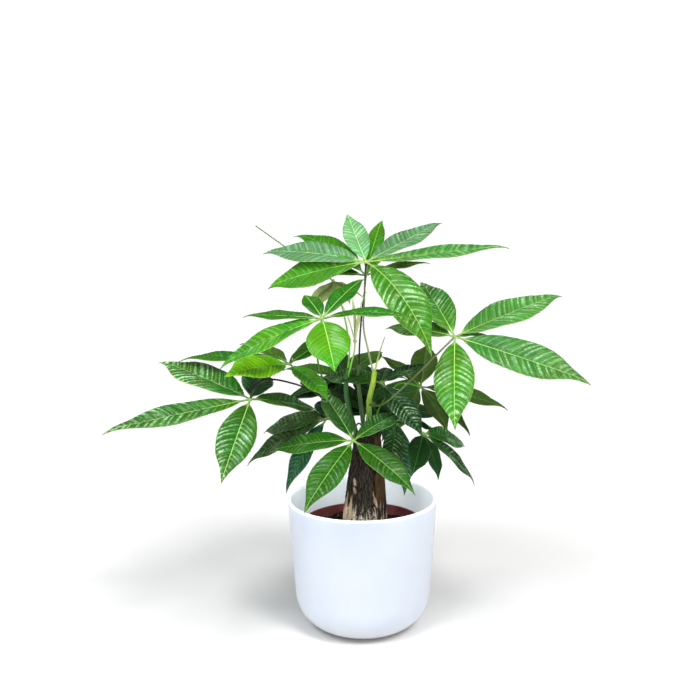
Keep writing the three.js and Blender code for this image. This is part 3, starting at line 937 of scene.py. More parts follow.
@dataclass
class NurseryPot:
    """The thin tapered pot inside the planter, with its rim band. Sizes in millimetres."""

    rim_height: float = 117
    rim_radius: float = 65
    rim_band: float = 9
    rim_step: float = 1.4
    rim_wall: float = 2
    rim_rounding: float = 0.7
    band_rounding: float = 0.6
    wall: float = 1.5
    foot_height: float = 7.6
    foot_radius: float = 45.5
    floor: float = 1.8
    drain_radius: float = 3.5
    drain_circle: float = 30
    drains: int = 6
    sides: int = 144
    finish: NurseryFinish = field(default_factory=NurseryFinish)

    def radius(self, height: float) -> float:
        """The tapered wall's outer radius at a height."""
        share = (height - self.foot_height) / (self.rim_height - self.rim_band - self.foot_height)
        return self.foot_radius + share * (self.rim_radius - self.rim_step - self.foot_radius)

    def profile(self) -> np.ndarray:
        """The pot's outline from under the floor, over the rim, to inside the floor.

        Returns:
            Radius and height pairs, in metres.
        """
        band = self.rim_height - self.rim_band
        floor_top = self.foot_height + self.floor
        inside = [[self.radius(z) - self.wall, z] for z in np.linspace(band - 1, floor_top, 14)]
        turn, top = self.rim_rounding, self.rim_height - self.rim_rounding
        parts = [
            [[0, self.foot_height], [self.foot_radius - 1, self.foot_height]],
            [[self.radius(z), z] for z in np.linspace(self.foot_height + 0.8, band - 0.4, 14)],
            corner((self.rim_radius - self.band_rounding, band + self.band_rounding),
                   self.band_rounding, -90, 0, 4),
            corner((self.rim_radius - turn, top), turn, 0, 90, 4),
            corner((self.rim_radius - self.rim_wall + turn, top), turn, 90, 180, 4),
            [[self.rim_radius - self.rim_wall - 0.2, band + 1]],
            inside,
            [[0, floor_top]],
        ]
        return np.concatenate([np.asarray(part, float) for part in parts]) * MM

    def build(self) -> None:
        """Builds, dresses and publishes the nursery pot."""
        draft = MeshDraft()
        draft.add(*lathe(self.profile(), self.sides))
        piece = draft.build("nursery_pot_plastic", self.finish.material())
        self.drill(piece)
        publish(piece, "nursery_pot")

    def drill(self, piece: bpy.types.Object) -> None:
        """Cuts the drain holes through the floor.

        Args:
            piece: the pot, whose mesh is replaced by the cut one.
        """
        cutter = MeshDraft()
        for k in range(self.drains):
            angle = 2 * math.pi * (k + 0.5) / self.drains
            middle = self.drain_circle * np.array([math.cos(angle), math.sin(angle), 0])
            ends = [middle + [0, 0, self.foot_height + self.floor * end] for end in (-1.5, 2.5)]
            rod = tube(np.array(ends) * MM, np.full(2, self.drain_radius * MM), 24)
            cutter.add(*rod)
        tool = cutter.build("drain_cutter", piece.data.materials[0])
        cut = piece.modifiers.new("drains", "BOOLEAN")
        cut.object, cut.operation, cut.solver = tool, "DIFFERENCE", "EXACT"
        bpy.context.view_layer.update()
        evaluated = piece.evaluated_get(bpy.context.evaluated_depsgraph_get())
        piece.data = bpy.data.meshes.new_from_object(evaluated)
        piece.modifiers.clear()
        bpy.data.objects.remove(tool)


@dataclass
class Trunk:
    """The leaning stump, with fissured bark, a bare strip and old scars. Sizes in millimetres."""

    profile: tuple = (
        (64, 19), (90, 23), (107, 24.6), (116, 24), (126, 22.9), (140, 21.2), (155, 19.9),
        (170, 18.9), (185, 17.3), (198, 15.8), (207, 15), (212.5, 13.6),
    )
    foot: float = 64
    bark_foot: float = 106
    shoulder: float = 212.5
    top: float = 216
    top_ring: tuple = (215, 7.5)
    top_heights: tuple = (213.6, 214.4, 215)
    soil_line: float = 111
    ridge_fade: float = 12
    ridges: int = 9
    ridge_depth: float = 0.9
    ridge_twist: float = 0.02
    swell: float = 0.7
    swell_twist: float = 0.05
    lean: float = 0.045
    foot_x: float = 2
    bark_depth: float = 1.3
    bark_reach: float = 21.0
    bark_stretch: float = 0.28
    groove_turn: float = -62
    groove_depth: float = 2.2
    scars: tuple = ((-131, 165, 7, 4.2), (-128, 156, 6, 3.4), (-60, 146, 4, 9))
    sides: int = 230
    rows: int = 150
    finish: BarkFinish = field(default_factory=BarkFinish)

    def axis_x(self, height: np.ndarray) -> np.ndarray:
        """How far to the right the trunk's middle is at a height."""
        return self.foot_x + self.lean * np.maximum(0, height - self.soil_line)

    def fissures(self, angle: float, height: float) -> float:
        """The bark's relief at a place, from 0 in a crack to 1 on a plate.

        Args:
            angle: the place's compass angle, in radians.
            height: its height.

        Returns:
            The relief.
        """
        around = self.bark_reach
        place = Vector((around * math.cos(angle), around * math.sin(angle), self.bark_stretch * height))
        warp = noise.noise_vector(place * 0.16) * 2.2
        coarse = abs(noise.noise((place + warp) * 0.46))
        fine = abs(noise.noise((place + warp) * 0.80 + Vector((7, 3, 1))))
        crumb = noise.noise(Vector((place.x, place.y, height * 0.8)) * 0.9)
        return min(1.0, max(0.0, 1.7 * coarse**0.7 + 0.55 * fine**0.8 + 0.16 * crumb))

    def marks(self, angle: np.ndarray, height: np.ndarray) -> dict[str, np.ndarray]:
        """Where the bark is bare, scarred or flecked.

        Args:
            angle: compass angles in radians, with the front at -90 degrees.
            height: heights.

        Returns:
            Shares from 0 to 1 of bare, patch and fleck.
        """
        turn = np.degrees(angle)
        waver = 5 * np.sin(height * 0.13) + 3 * np.sin(height * 0.41 + 1)
        strip = smooth_step(turn + waver, -64, -57) * smooth_step(-(turn + waver), -20, 5)
        bare = strip * smooth_step(height, 132, 150) * 0.85
        ragged = 6 * np.sin(turn * 0.33) + 4 * np.sin(turn * 0.9 + height * 0.3)
        low_left = np.maximum(smooth_step(-(turn + waver), 124, 134), smooth_step(turn + waver, 160, 170))
        waves = np.sin(turn * 0.42 + height * 0.05) + np.sin(turn * 0.23 - height * 0.13)
        streaks = smooth_step(waves, -0.3, 0.7)
        low_right = smooth_step(turn + waver, -80, -62) * smooth_step(-(turn + waver), -30, 0) * streaks
        patch = np.maximum(low_left * smooth_step(-(height + ragged), -147, -136),
                           low_right * smooth_step(-(height + ragged), -140, -124))
        for scar_turn, scar_height, width, tall in self.scars:
            away = ((turn - scar_turn + 0.8 * (height - scar_height)) / width) ** 2
            away += ((height - scar_height) / tall) ** 2
            patch = np.maximum(patch, 0.7 * smooth_step(-away, -1.4, -0.5))
        fleck = smooth_step(-(height + ragged), -138, -120) * smooth_step(-np.abs(turn + 98), -50, -26)
        return {"bare": bare, "patch": 0.9 * patch, "fleck": 0.9 * fleck}

    def build(self) -> None:
        """Builds, dresses and publishes the trunk."""
        given = np.array([*self.profile, self.top_ring], float)
        heights = np.concatenate([np.linspace(self.foot, self.bark_foot, 12, endpoint=False),
                                  np.linspace(self.bark_foot, self.shoulder, self.rows), self.top_heights])
        radii = np.interp(heights, given[:, 0], given[:, 1])
        angles = 2 * np.pi * np.arange(self.sides) / self.sides - np.pi
        angle, height = np.meshgrid(angles, heights)
        above = np.maximum(0, height - self.soil_line)
        relief = np.array([[self.fissures(a, z) for a in angles] for z in heights])
        marks = self.marks(angle, height)
        calm = np.clip(marks["bare"] * 0.85 + marks["patch"] * 0.5, 0, 1)
        depth = (relief * (1 - calm) + 0.5 * calm - 0.62) * self.bark_depth
        from_groove = np.degrees(angle) - self.groove_turn + 2 * np.sin(height * 0.2)
        groove = smooth_step(-np.abs(from_groove), -5, -1)
        depth -= self.groove_depth * groove * smooth_step(height, 128, 150)
        ridge = self.ridge_depth * np.cos(self.ridges * angle + self.ridge_twist * above)
        swell = self.swell * np.sin(2 * angle + self.swell_twist * above)
        radius = radii[:, None] + np.minimum(1, above / self.ridge_fade) * (ridge * 0.6 + swell)
        radius = radius + depth * smooth_step(height, 96, 112) * smooth_step(-height, -216, -212)
        rings = np.stack([radius * np.cos(angle) + self.axis_x(height), radius * np.sin(angle), height],
                         axis=-1)
        first, last = (np.array([self.axis_x(np.array(z)), 0, z], float) for z in (self.foot, self.top))
        points, faces = capped_rings(rings * MM, first * MM, last * MM)
        values = {name: np.append(share.ravel(), [0, 0]) for name, share in marks.items()}
        depth_seen = np.clip(relief * (1 - calm) + 0.6 * calm - 0.8 * groove, 0, 1)
        draft = MeshDraft(relief=0.0, bare=0.0, patch=0.0, fleck=0.0)
        draft.add(points, faces, relief=np.append(depth_seen.ravel(), [0.3, 0.3]), **values)
        publish(draft.build("trunk_bark", self.finish.material()), "trunk")


@dataclass
class Soil:
    """The filling of the nursery pot: clods, crumbs and a few pale grains. Sizes in millimetres."""

    pot: NurseryPot
    trunk: Trunk
    top: float = 107
    shoulder: float = 105
    gap: float = 0.3
    unevenness: float = 1.3
    trunk_clearance: float = 1.5
    crumbs: int = 620
    pale_share: float = 0.07
    sides: int = 160
    rings: int = 70
    finish: SoilFinish = field(default_factory=SoilFinish)

    def surface(self, x: float, y: float) -> float:
        """The uneven top of the soil.

        Args:
            x: how far to the right the place is.
            y: how far back it is.

        Returns:
            The soil's height there.
        """
        ripples = (0.6 * math.sin(0.17 * x + 0.21 * y + 0.7) + 0.5 * math.sin(-0.19 * x + 0.16 * y + 2.1)
                   + 0.4 * math.sin(0.31 * x + 0.3 * y))
        clods = noise.fractal(Vector((x, y, 0)) * 0.16, 0.8, 2.1, 4)
        return self.top + 0.8 * self.unevenness * ripples + 1.0 * clods

    def build(self) -> None:
        """Builds, dresses and publishes the soil."""
        bottom = self.pot.foot_height + self.pot.floor + self.gap
        edge = self.pot.radius(self.shoulder) - self.pot.wall - self.gap
        low_edge = self.pot.radius(bottom) - self.pot.wall - self.gap
        angles = 2 * np.pi * np.arange(self.sides) / self.sides
        rings = [[(r * math.cos(a), r * math.sin(a), z) for a in angles]
                 for r, z in ((low_edge, bottom), (edge, self.shoulder))]
        for radius in np.linspace(edge - 0.4, 1.0, self.rings):
            rings.append([(radius * math.cos(a), radius * math.sin(a),
                           self.surface(radius * math.cos(a), radius * math.sin(a))) for a in angles])
        middle = np.array([0, 0, self.surface(0, 0)])
        points, faces = capped_rings(np.array(rings) * MM, np.array([0, 0, bottom]) * MM, middle * MM)
        draft = MeshDraft(grain=0.0)
        draft.add(points, faces)
        self.scatter(draft, edge)
        publish(draft.build("soil_filling", self.finish.material()), "soil")

    def scatter(self, draft: MeshDraft, edge: float) -> None:
        """Half sinks crumbs and pale grains into the surface.

        Args:
            draft: the soil's mesh draft.
            edge: the surface's radius.
        """
        rng = np.random.default_rng(SEED)
        lump = bpy.data.meshes.new("lump")
        shell = bmesh.new()
        bmesh.ops.create_icosphere(shell, subdivisions=2, radius=1)
        shell.to_mesh(lump)
        shell.free()
        ball = np.array([corner_point.co for corner_point in lump.vertices])
        ball_faces = np.array([face.vertices[:] for face in lump.polygons])
        bpy.data.meshes.remove(lump)
        clear = np.interp(self.top, *np.transpose(self.trunk.profile)) + self.trunk_clearance
        for _ in range(self.crumbs):
            distance, turn = (edge - 2) * math.sqrt(rng.uniform(0.1, 1)), rng.uniform(0, 2 * math.pi)
            x, y = distance * math.cos(turn), distance * math.sin(turn)
            pale = float(rng.uniform() < self.pale_share)
            size = rng.uniform(0.6, 1.9) * (0.8 if pale else 1.0)
            stretch = rng.uniform(0.6, 1.4, 3)
            tumble = np.array(Matrix.Rotation(rng.uniform(0, 6), 3, Vector(rng.normal(size=3))))
            dents = 1 + 0.22 * np.sin(ball @ rng.normal(size=3) * 4 + rng.uniform(0, 6))
            if math.hypot(x - self.trunk.foot_x, y) < clear:
                continue
            centre = np.array([x, y, self.surface(x, y) + 0.25 * size])
            lump_points = (ball * dents[:, None] * stretch * size) @ tumble.T + centre
            draft.add(lump_points * MM, [ball_faces], grain=pale)


@dataclass
class Shoot:
    """A young stem that grows from the trunk's cut top. Sizes in millimetres."""

    node: str
    radius: float
    axis: tuple[Point, ...]
    tones: tuple[Tone, Tone]
    twig_axis: tuple[Point, ...] = ()
    twig_radius: float = 0.8
    twig_taper: tuple[float, float] = (1.35, 0.55)
    rings: tuple[float, ...] = (0.35, 0.6, 0.82)
    steps: int = 90
    sides: int = 22

    def swollen(self) -> np.ndarray:
        """The stem's radius along its length: stout at the foot, ringed where leaves stood.

        Returns:
            The radius at each step.
        """
        share = np.linspace(0, 1, self.steps + 1)
        radius = self.radius * (1.12 - 0.22 * share)
        for place in self.rings:
            radius = radius + 0.28 * np.exp(-(((share - place) / 0.018) ** 2))
        return radius * np.where(share > 0.985, 0.9, 1)

    def scars(self, share: np.ndarray) -> np.ndarray:
        """Dark marks just above each ring.

        Args:
            share: places along the stem, from 0 to 1.

        Returns:
            How dark the mark is at each.
        """
        marks = np.zeros_like(share)
        for place in self.rings:
            marks = np.maximum(marks, 0.35 * np.exp(-(((share - place - 0.02) / 0.008) ** 2)))
        return marks

    def tube_values(self, tones: tuple[Tone, Tone]) -> dict[str, np.ndarray]:
        """Tint and scars of a tube's points, from its first ring to its last tip.

        Args:
            tones: its colours at the foot and at the top.

        Returns:
            The named values.
        """
        share = np.linspace(0, 1, self.steps + 1)
        blend = smooth_step(share, 0.15, 1.0)[:, None]
        tint = (1 - blend) * np.array(tones[0].value) + blend * np.array(tones[1].value)
        rings = np.repeat(tint, self.sides, axis=0)
        scar = np.repeat(self.scars(share), self.sides)
        return {"tint": np.concatenate([rings, tint[:1], tint[-1:]]), "scar": np.append(scar, [0.6, 0.3])}

    def build(self, material: bpy.types.Material) -> None:
        """Builds, dresses and publishes the stem.

        Args:
            material: the stem material, shared by all shoots.
        """
        draft = MeshDraft(tint=self.tones[0].value, scar=0.0)
        path = smooth_path(self.axis, self.steps) * MM
        draft.add(*tube(path, self.swollen() * MM, self.sides), **self.tube_values(self.tones))
        if self.twig_axis:
            twig = smooth_path(self.twig_axis, self.steps) * MM
            radius = np.linspace(*self.twig_taper, self.steps + 1) * self.twig_radius * MM
            values = self.tube_values((self.tones[1], Tone.TAUPE))
            dark_foot = smooth_step(-np.linspace(0, 1, self.steps + 1), -0.14, -0.06)
            values["scar"] = np.append(np.repeat(dark_foot, self.sides), [1.0, 0.8])
            draft.add(*tube(twig, radius, self.sides), **values)
        publish(draft.build(f"{self.node}_stem", material), self.node)


@dataclass(frozen=True)
class Leaflet:
    """One finger of a leaf. Bearing 0 points right and 90 away, in the leaf's own plane."""

    bearing: float
    length: float
    droop: float
    tone: Tone
    width: float = 0.35
    upturn: float = 0.35
    arch: float = 0.035
    quilt: float = 1.0
    # How strongly the painted sheen shows on this blade.
    frost: float = 0.0
    # light scales the tone's brightness: partly the leaflet's own green, partly painted light for how
    # brightly it is lit.
    light: float = 1.0


@dataclass(frozen=True)
class BladeShape:
    """What all blades share. Sizes in millimetres, shares of a blade's length, degrees."""

    edge: float = 0.35
    middle: float = 0.5
    rib: float = 0.9
    rib_width: float = 0.62
    fold: float = 13
    fold_loss: float = 0.6
    dome: float = 0.05
    wave: float = 0.8
    wave_full_at: float = 8
    neck: float = 1.2
    neck_end: float = 0.06
    tip_share: float = 0.22
    fullness: float = 0.9
    widest_power: float = 0.92
    drip: float = 0.4
    quilt: float = 1.15
    vein_lean: float = 0.55
    veins: int = 16
    vein_gaps: tuple[float, float] = (4.6, 8.6)
    crowding: float = 1.45
    cells_across: int = 24
    # The direction that the painted sheen favours, as if a light stood there.
    sheen_direction: Point = (-0.6, 0.1, 0.8)
    row_length: float = 1.35

    def half_width(self, share: np.ndarray, leaflet: Leaflet) -> np.ndarray:
        """Half of a blade's width along its length.

        Args:
            share: places along the blade, from 0 to 1.
            leaflet: whose blade it is.

        Returns:
            Half widths.
        """
        along = np.clip((share - self.neck_end) / (1 - self.neck_end), 0, 1)
        full = np.abs(np.sin(np.pi * along**self.widest_power)) ** self.fullness
        drip = 1 - self.drip * smooth_step(share, 0.70, 0.97)
        blade = 0.5 * leaflet.width * leaflet.length * full * drip * (share > self.neck_end)
        least = self.neck * (1 + (self.tip_share - 1) * along)
        return (blade**4 + least**4) ** 0.25


@dataclass
class Leaf:
    """A hand-shaped leaf: a stalk, the hub at its end, and the leaflets round the hub."""

    node: str
    slot: Slot
    hub: Point
    lean: float
    azimuth: float
    stalk: tuple[Point, ...]
    leaflets: tuple[Leaflet, ...]
    stalk_tones: tuple[Tone, Tone] = (Tone.GRASS, Tone.SPRING)
    hub_tone: Tone = Tone.PALE_GREEN
    bare_rib: tuple[float, float, float] | None = None
    hub_radius: float = 2.2
    stalk_radius: float = 0.95
    stalk_steps: int = 60
    stalk_sides: int = 14
    rib_radii: tuple[float, float] = (0.95, 0.6)
    rib_points: int = 30
    shape: BladeShape = BladeShape()

    def directions(self) -> tuple[np.ndarray, np.ndarray, np.ndarray]:
        """How the leaf's plane lies.

        Returns:
            The leaf's own up, right and away, as unit vectors.
        """
        lean, azimuth = math.radians(self.lean), math.radians(self.azimuth)
        level = math.sin(lean)
        up = np.array([level * math.cos(azimuth), level * math.sin(azimuth), math.cos(lean)])
        away = unit(np.cross(up, [1, 0, 0]))
        return up, np.cross(away, up), away

    def leaflet_directions(self, bearing: float, droop: float, upturn: float) -> tuple:
        """A leaflet's own out, up and side.

        Args:
            bearing: where it points, in the leaf's plane.
            droop: how far it hangs below that plane.
            upturn: the share by which its face turns to the sky.

        Returns:
            Three unit vectors.
        """
        up, right, away = self.directions()
        turn, dip = math.radians(bearing), math.radians(droop)
        level = right * math.cos(turn) + away * math.sin(turn)
        out = level * math.cos(dip) - up * math.sin(dip)
        leaf_up = level * math.sin(dip) + up * math.cos(dip)
        sky = np.array([0.0, 0.0, 1.0])
        sky_up = unit(sky - out * (sky @ out))
        face_up = unit((1 - upturn) * leaf_up + upturn * sky_up)
        return out, face_up, np.cross(out, face_up)

    def add_blade(self, draft: MeshDraft, leaflet: Leaflet, order: int) -> None:
        """Adds one quilted blade with its raised rib.

        Args:
            draft: the leaf's mesh draft.
            leaflet: the blade's sizes.
            order: its place in the leaf, which sets how its edges wave.
        """
        shape, length = self.shape, leaflet.length
        out, up, side = self.leaflet_directions(leaflet.bearing, leaflet.droop, leaflet.upturn)
        rows = max(30, round(length / shape.row_length))
        share = np.linspace(0, 1, rows + 1)[:, None]
        spread = np.linspace(-1, 1, shape.cells_across + 1)[None, :]
        across = np.sign(spread) * np.abs(spread) ** shape.crowding
        outward = np.abs(across)
        half = shape.half_width(share, leaflet)

        spacing = np.clip(length / shape.veins, *shape.vein_gaps)
        rng = np.random.default_rng(SEED + order + int(length) + int(leaflet.bearing))
        side_shift = np.where(across < 0, rng.uniform(0.2, 0.6), 0.0)
        slant = shape.vein_lean * outward * half * (1 + 0.45 * outward)
        vein = (share * length - slant) / spacing + side_shift
        vein = vein + 0.16 * np.sin(vein * 2.3 + order) + 0.1 * np.sin(vein * 5.1 + 2 * order)
        swell = np.abs(np.sin(np.pi * vein)) ** 0.75
        reach = smooth_step(outward * half, 0.3, 2.6) * (1 - outward**5)
        strength = 0.8 + 0.35 * np.sin(vein * 1.7 + order * 1.3 + across * 2)
        quilt = shape.quilt * leaflet.quilt * np.minimum(1.25, half / 12) * strength * swell * reach

        fold = np.tan(np.radians(shape.fold * (1 - shape.fold_loss * share)))
        wave = shape.wave * np.minimum(1, half / shape.wave_full_at)
        turn = np.where(across < 0, 14 * share + order, 16 * share + order + 1.5)
        lift = half * fold * outward + wave * np.sin(turn) * outward**2
        lift = lift + shape.dome * half * 4 * outward * (1 - outward) * leaflet.quilt
        lift = lift - 0.05 * half * smooth_step(outward, 0.8, 1.0)
        lift = lift + quilt
        curl = 0.03 * length * np.clip((share - 0.86) / 0.14, 0, 1) ** 2
        rise = 4 * share * (1 - share) * leaflet.arch * length - curl

        offset = across * half
        rib_scale = shape.rib_width * (1.25 - 0.8 * share)
        rib_bump = np.exp(-((offset / (0.9 * rib_scale)) ** 2)) * (1 - 0.7 * share)
        hub = np.array(self.hub, float)
        centre = hub + out * share[..., None] * length
        top_height = rise + lift + 0.25 * rib_bump
        body = shape.middle + (shape.edge - shape.middle) * outward
        bottom_height = rise + lift - body - shape.rib * rib_bump
        ripple = 1 + 0.012 * np.sin(2 * np.pi * vein) * outward**3

        def placed(height: np.ndarray) -> np.ndarray:
            """Points of one face at these heights above the rib line."""
            return centre + side * (offset * ripple)[..., None] + up * height[..., None]

        top, bottom = placed(top_height), placed(bottom_height)
        rings = np.concatenate([top, bottom[:, ::-1]], axis=1)
        columns = rings.shape[1]
        half_ring = columns // 2
        step = np.arange(half_ring - 1)
        cap = np.stack([step, step + 1, columns - 2 - step, columns - 1 - step], axis=1)
        faces = [grid_faces(rows + 1, columns, ring=True), cap[:, ::-1], cap + rows * columns]

        def both(value: np.ndarray) -> np.ndarray:
            """A value of the upper face's points, repeated for the lower face."""
            full = np.broadcast_to(value, (rows + 1, half_ring))
            return np.concatenate([full, full[:, ::-1]], axis=1)

        under = np.concatenate([np.zeros((rows + 1, half_ring)), np.ones((rows + 1, half_ring))], axis=1)
        neck = smooth_step(share, 0.02, 0.14)
        young = np.array(self.hub_tone.value)
        # The tint takes the leaflet's light, which is partly painted light.
        tint = (1 - neck)[..., None] * young + neck[..., None] * leaflet.light * np.array(leaflet.tone.value)
        tints = np.broadcast_to(tint, (rows + 1, columns, 3))
        # The painted sheen lies thicker where the blade turns to a fixed lit side, as a reflection would.
        sheen_favour = 0.25 + 0.75 * smooth_step(self.toward_sheen(top), -0.14, 0.14)
        frost = leaflet.frost * smooth_step(share, 0.1, 0.6) * sheen_favour
        draft.add(rings * MM, faces, tint=tints, vein=both(vein), edge=both(outward), along=both(share),
                  rib=both(np.abs(offset) / rib_scale), blade=both(smooth_step(share, 0.05, 0.1)),
                  under=under, frost=both(frost) * (1 - under))

    def toward_sheen(self, top: np.ndarray) -> np.ndarray:
        """How much more than the whole blade each point of its upper face turns to the side that the painted
        sheen favours.

        Args:
            top: the upper face's points, as a grid.

        Returns:
            Differences of the cosine.
        """
        along, aside = np.gradient(top, axis=0), np.gradient(top, axis=1)
        normal = np.cross(along, aside)
        normal /= np.maximum(np.linalg.norm(normal, axis=2), 1e-9)[..., None]
        normal *= np.sign(np.mean(normal @ self.directions()[0]))
        turned = normal @ unit(np.array(self.shape.sheen_direction))
        return turned - turned.mean()

    def add_tube(self, draft: MeshDraft, path: np.ndarray, radius: np.ndarray,
                 tones: tuple[Tone, Tone]) -> None:
        """Adds a round stalk.

        Args:
            draft: the leaf's mesh draft.
            path: the points of its middle line.
            radius: its radius at each of them.
            tones: its colours at its first and last point.
        """
        share = np.linspace(0, 1, len(path))[:, None]
        tint = (1 - share) * np.array(tones[0].value) + share * np.array(tones[1].value)
        tints = np.concatenate([np.repeat(tint, self.stalk_sides, axis=0), tint[:1], tint[-1:]])
        draft.add(*tube(path * MM, radius * MM, self.stalk_sides), tint=tints)

    def add_hub(self, draft: MeshDraft) -> None:
        """Adds the swollen knob where the leaflets meet.

        Args:
            draft: the leaf's mesh draft.
        """
        up, right, away = self.directions()
        angles = np.linspace(0, np.pi, 13)
        profile = np.stack([self.hub_radius * np.sin(angles),
                            -0.75 * self.hub_radius * np.cos(angles)], axis=1)
        points, faces = lathe(profile, 20)
        turned = points[:, 0:1] * right + points[:, 1:2] * away + points[:, 2:3] * up
        draft.add((turned + np.array(self.hub, float)) * MM, faces, tint=self.hub_tone.value)

    def build(self, material: bpy.types.Material) -> None:
        """Builds, dresses and publishes the whole leaf.

        Args:
            material: the leaf material of its slot.
        """
        draft = MeshDraft(tint=self.hub_tone.value, vein=0.0, edge=0.0, along=0.0, rib=0.0,
                          blade=0.0, under=0.0, frost=0.0)
        path = smooth_path([*self.stalk, self.hub], self.stalk_steps)
        share = np.linspace(0, 1, self.stalk_steps + 1)
        radius = self.stalk_radius * (1 + 0.5 * np.exp(-share / 0.05) + 0.45 * np.exp(-(1 - share) / 0.04))
        self.add_tube(draft, path, radius, self.stalk_tones)
        self.add_hub(draft)
        for order, leaflet in enumerate(self.leaflets):
            self.add_blade(draft, leaflet, order)
        if self.bare_rib:
            bearing, length, rise = self.bare_rib
            out = self.leaflet_directions(bearing, -rise, 0.0)[0]
            line = np.array(self.hub, float) + out * np.linspace(0, length, self.rib_points)[:, None]
            radius = np.linspace(*self.rib_radii, self.rib_points)
            self.add_tube(draft, line, radius, (Tone.GREY, Tone.OLIVE))
        publish(draft.build(f"{self.node}_blades", material), self.node)


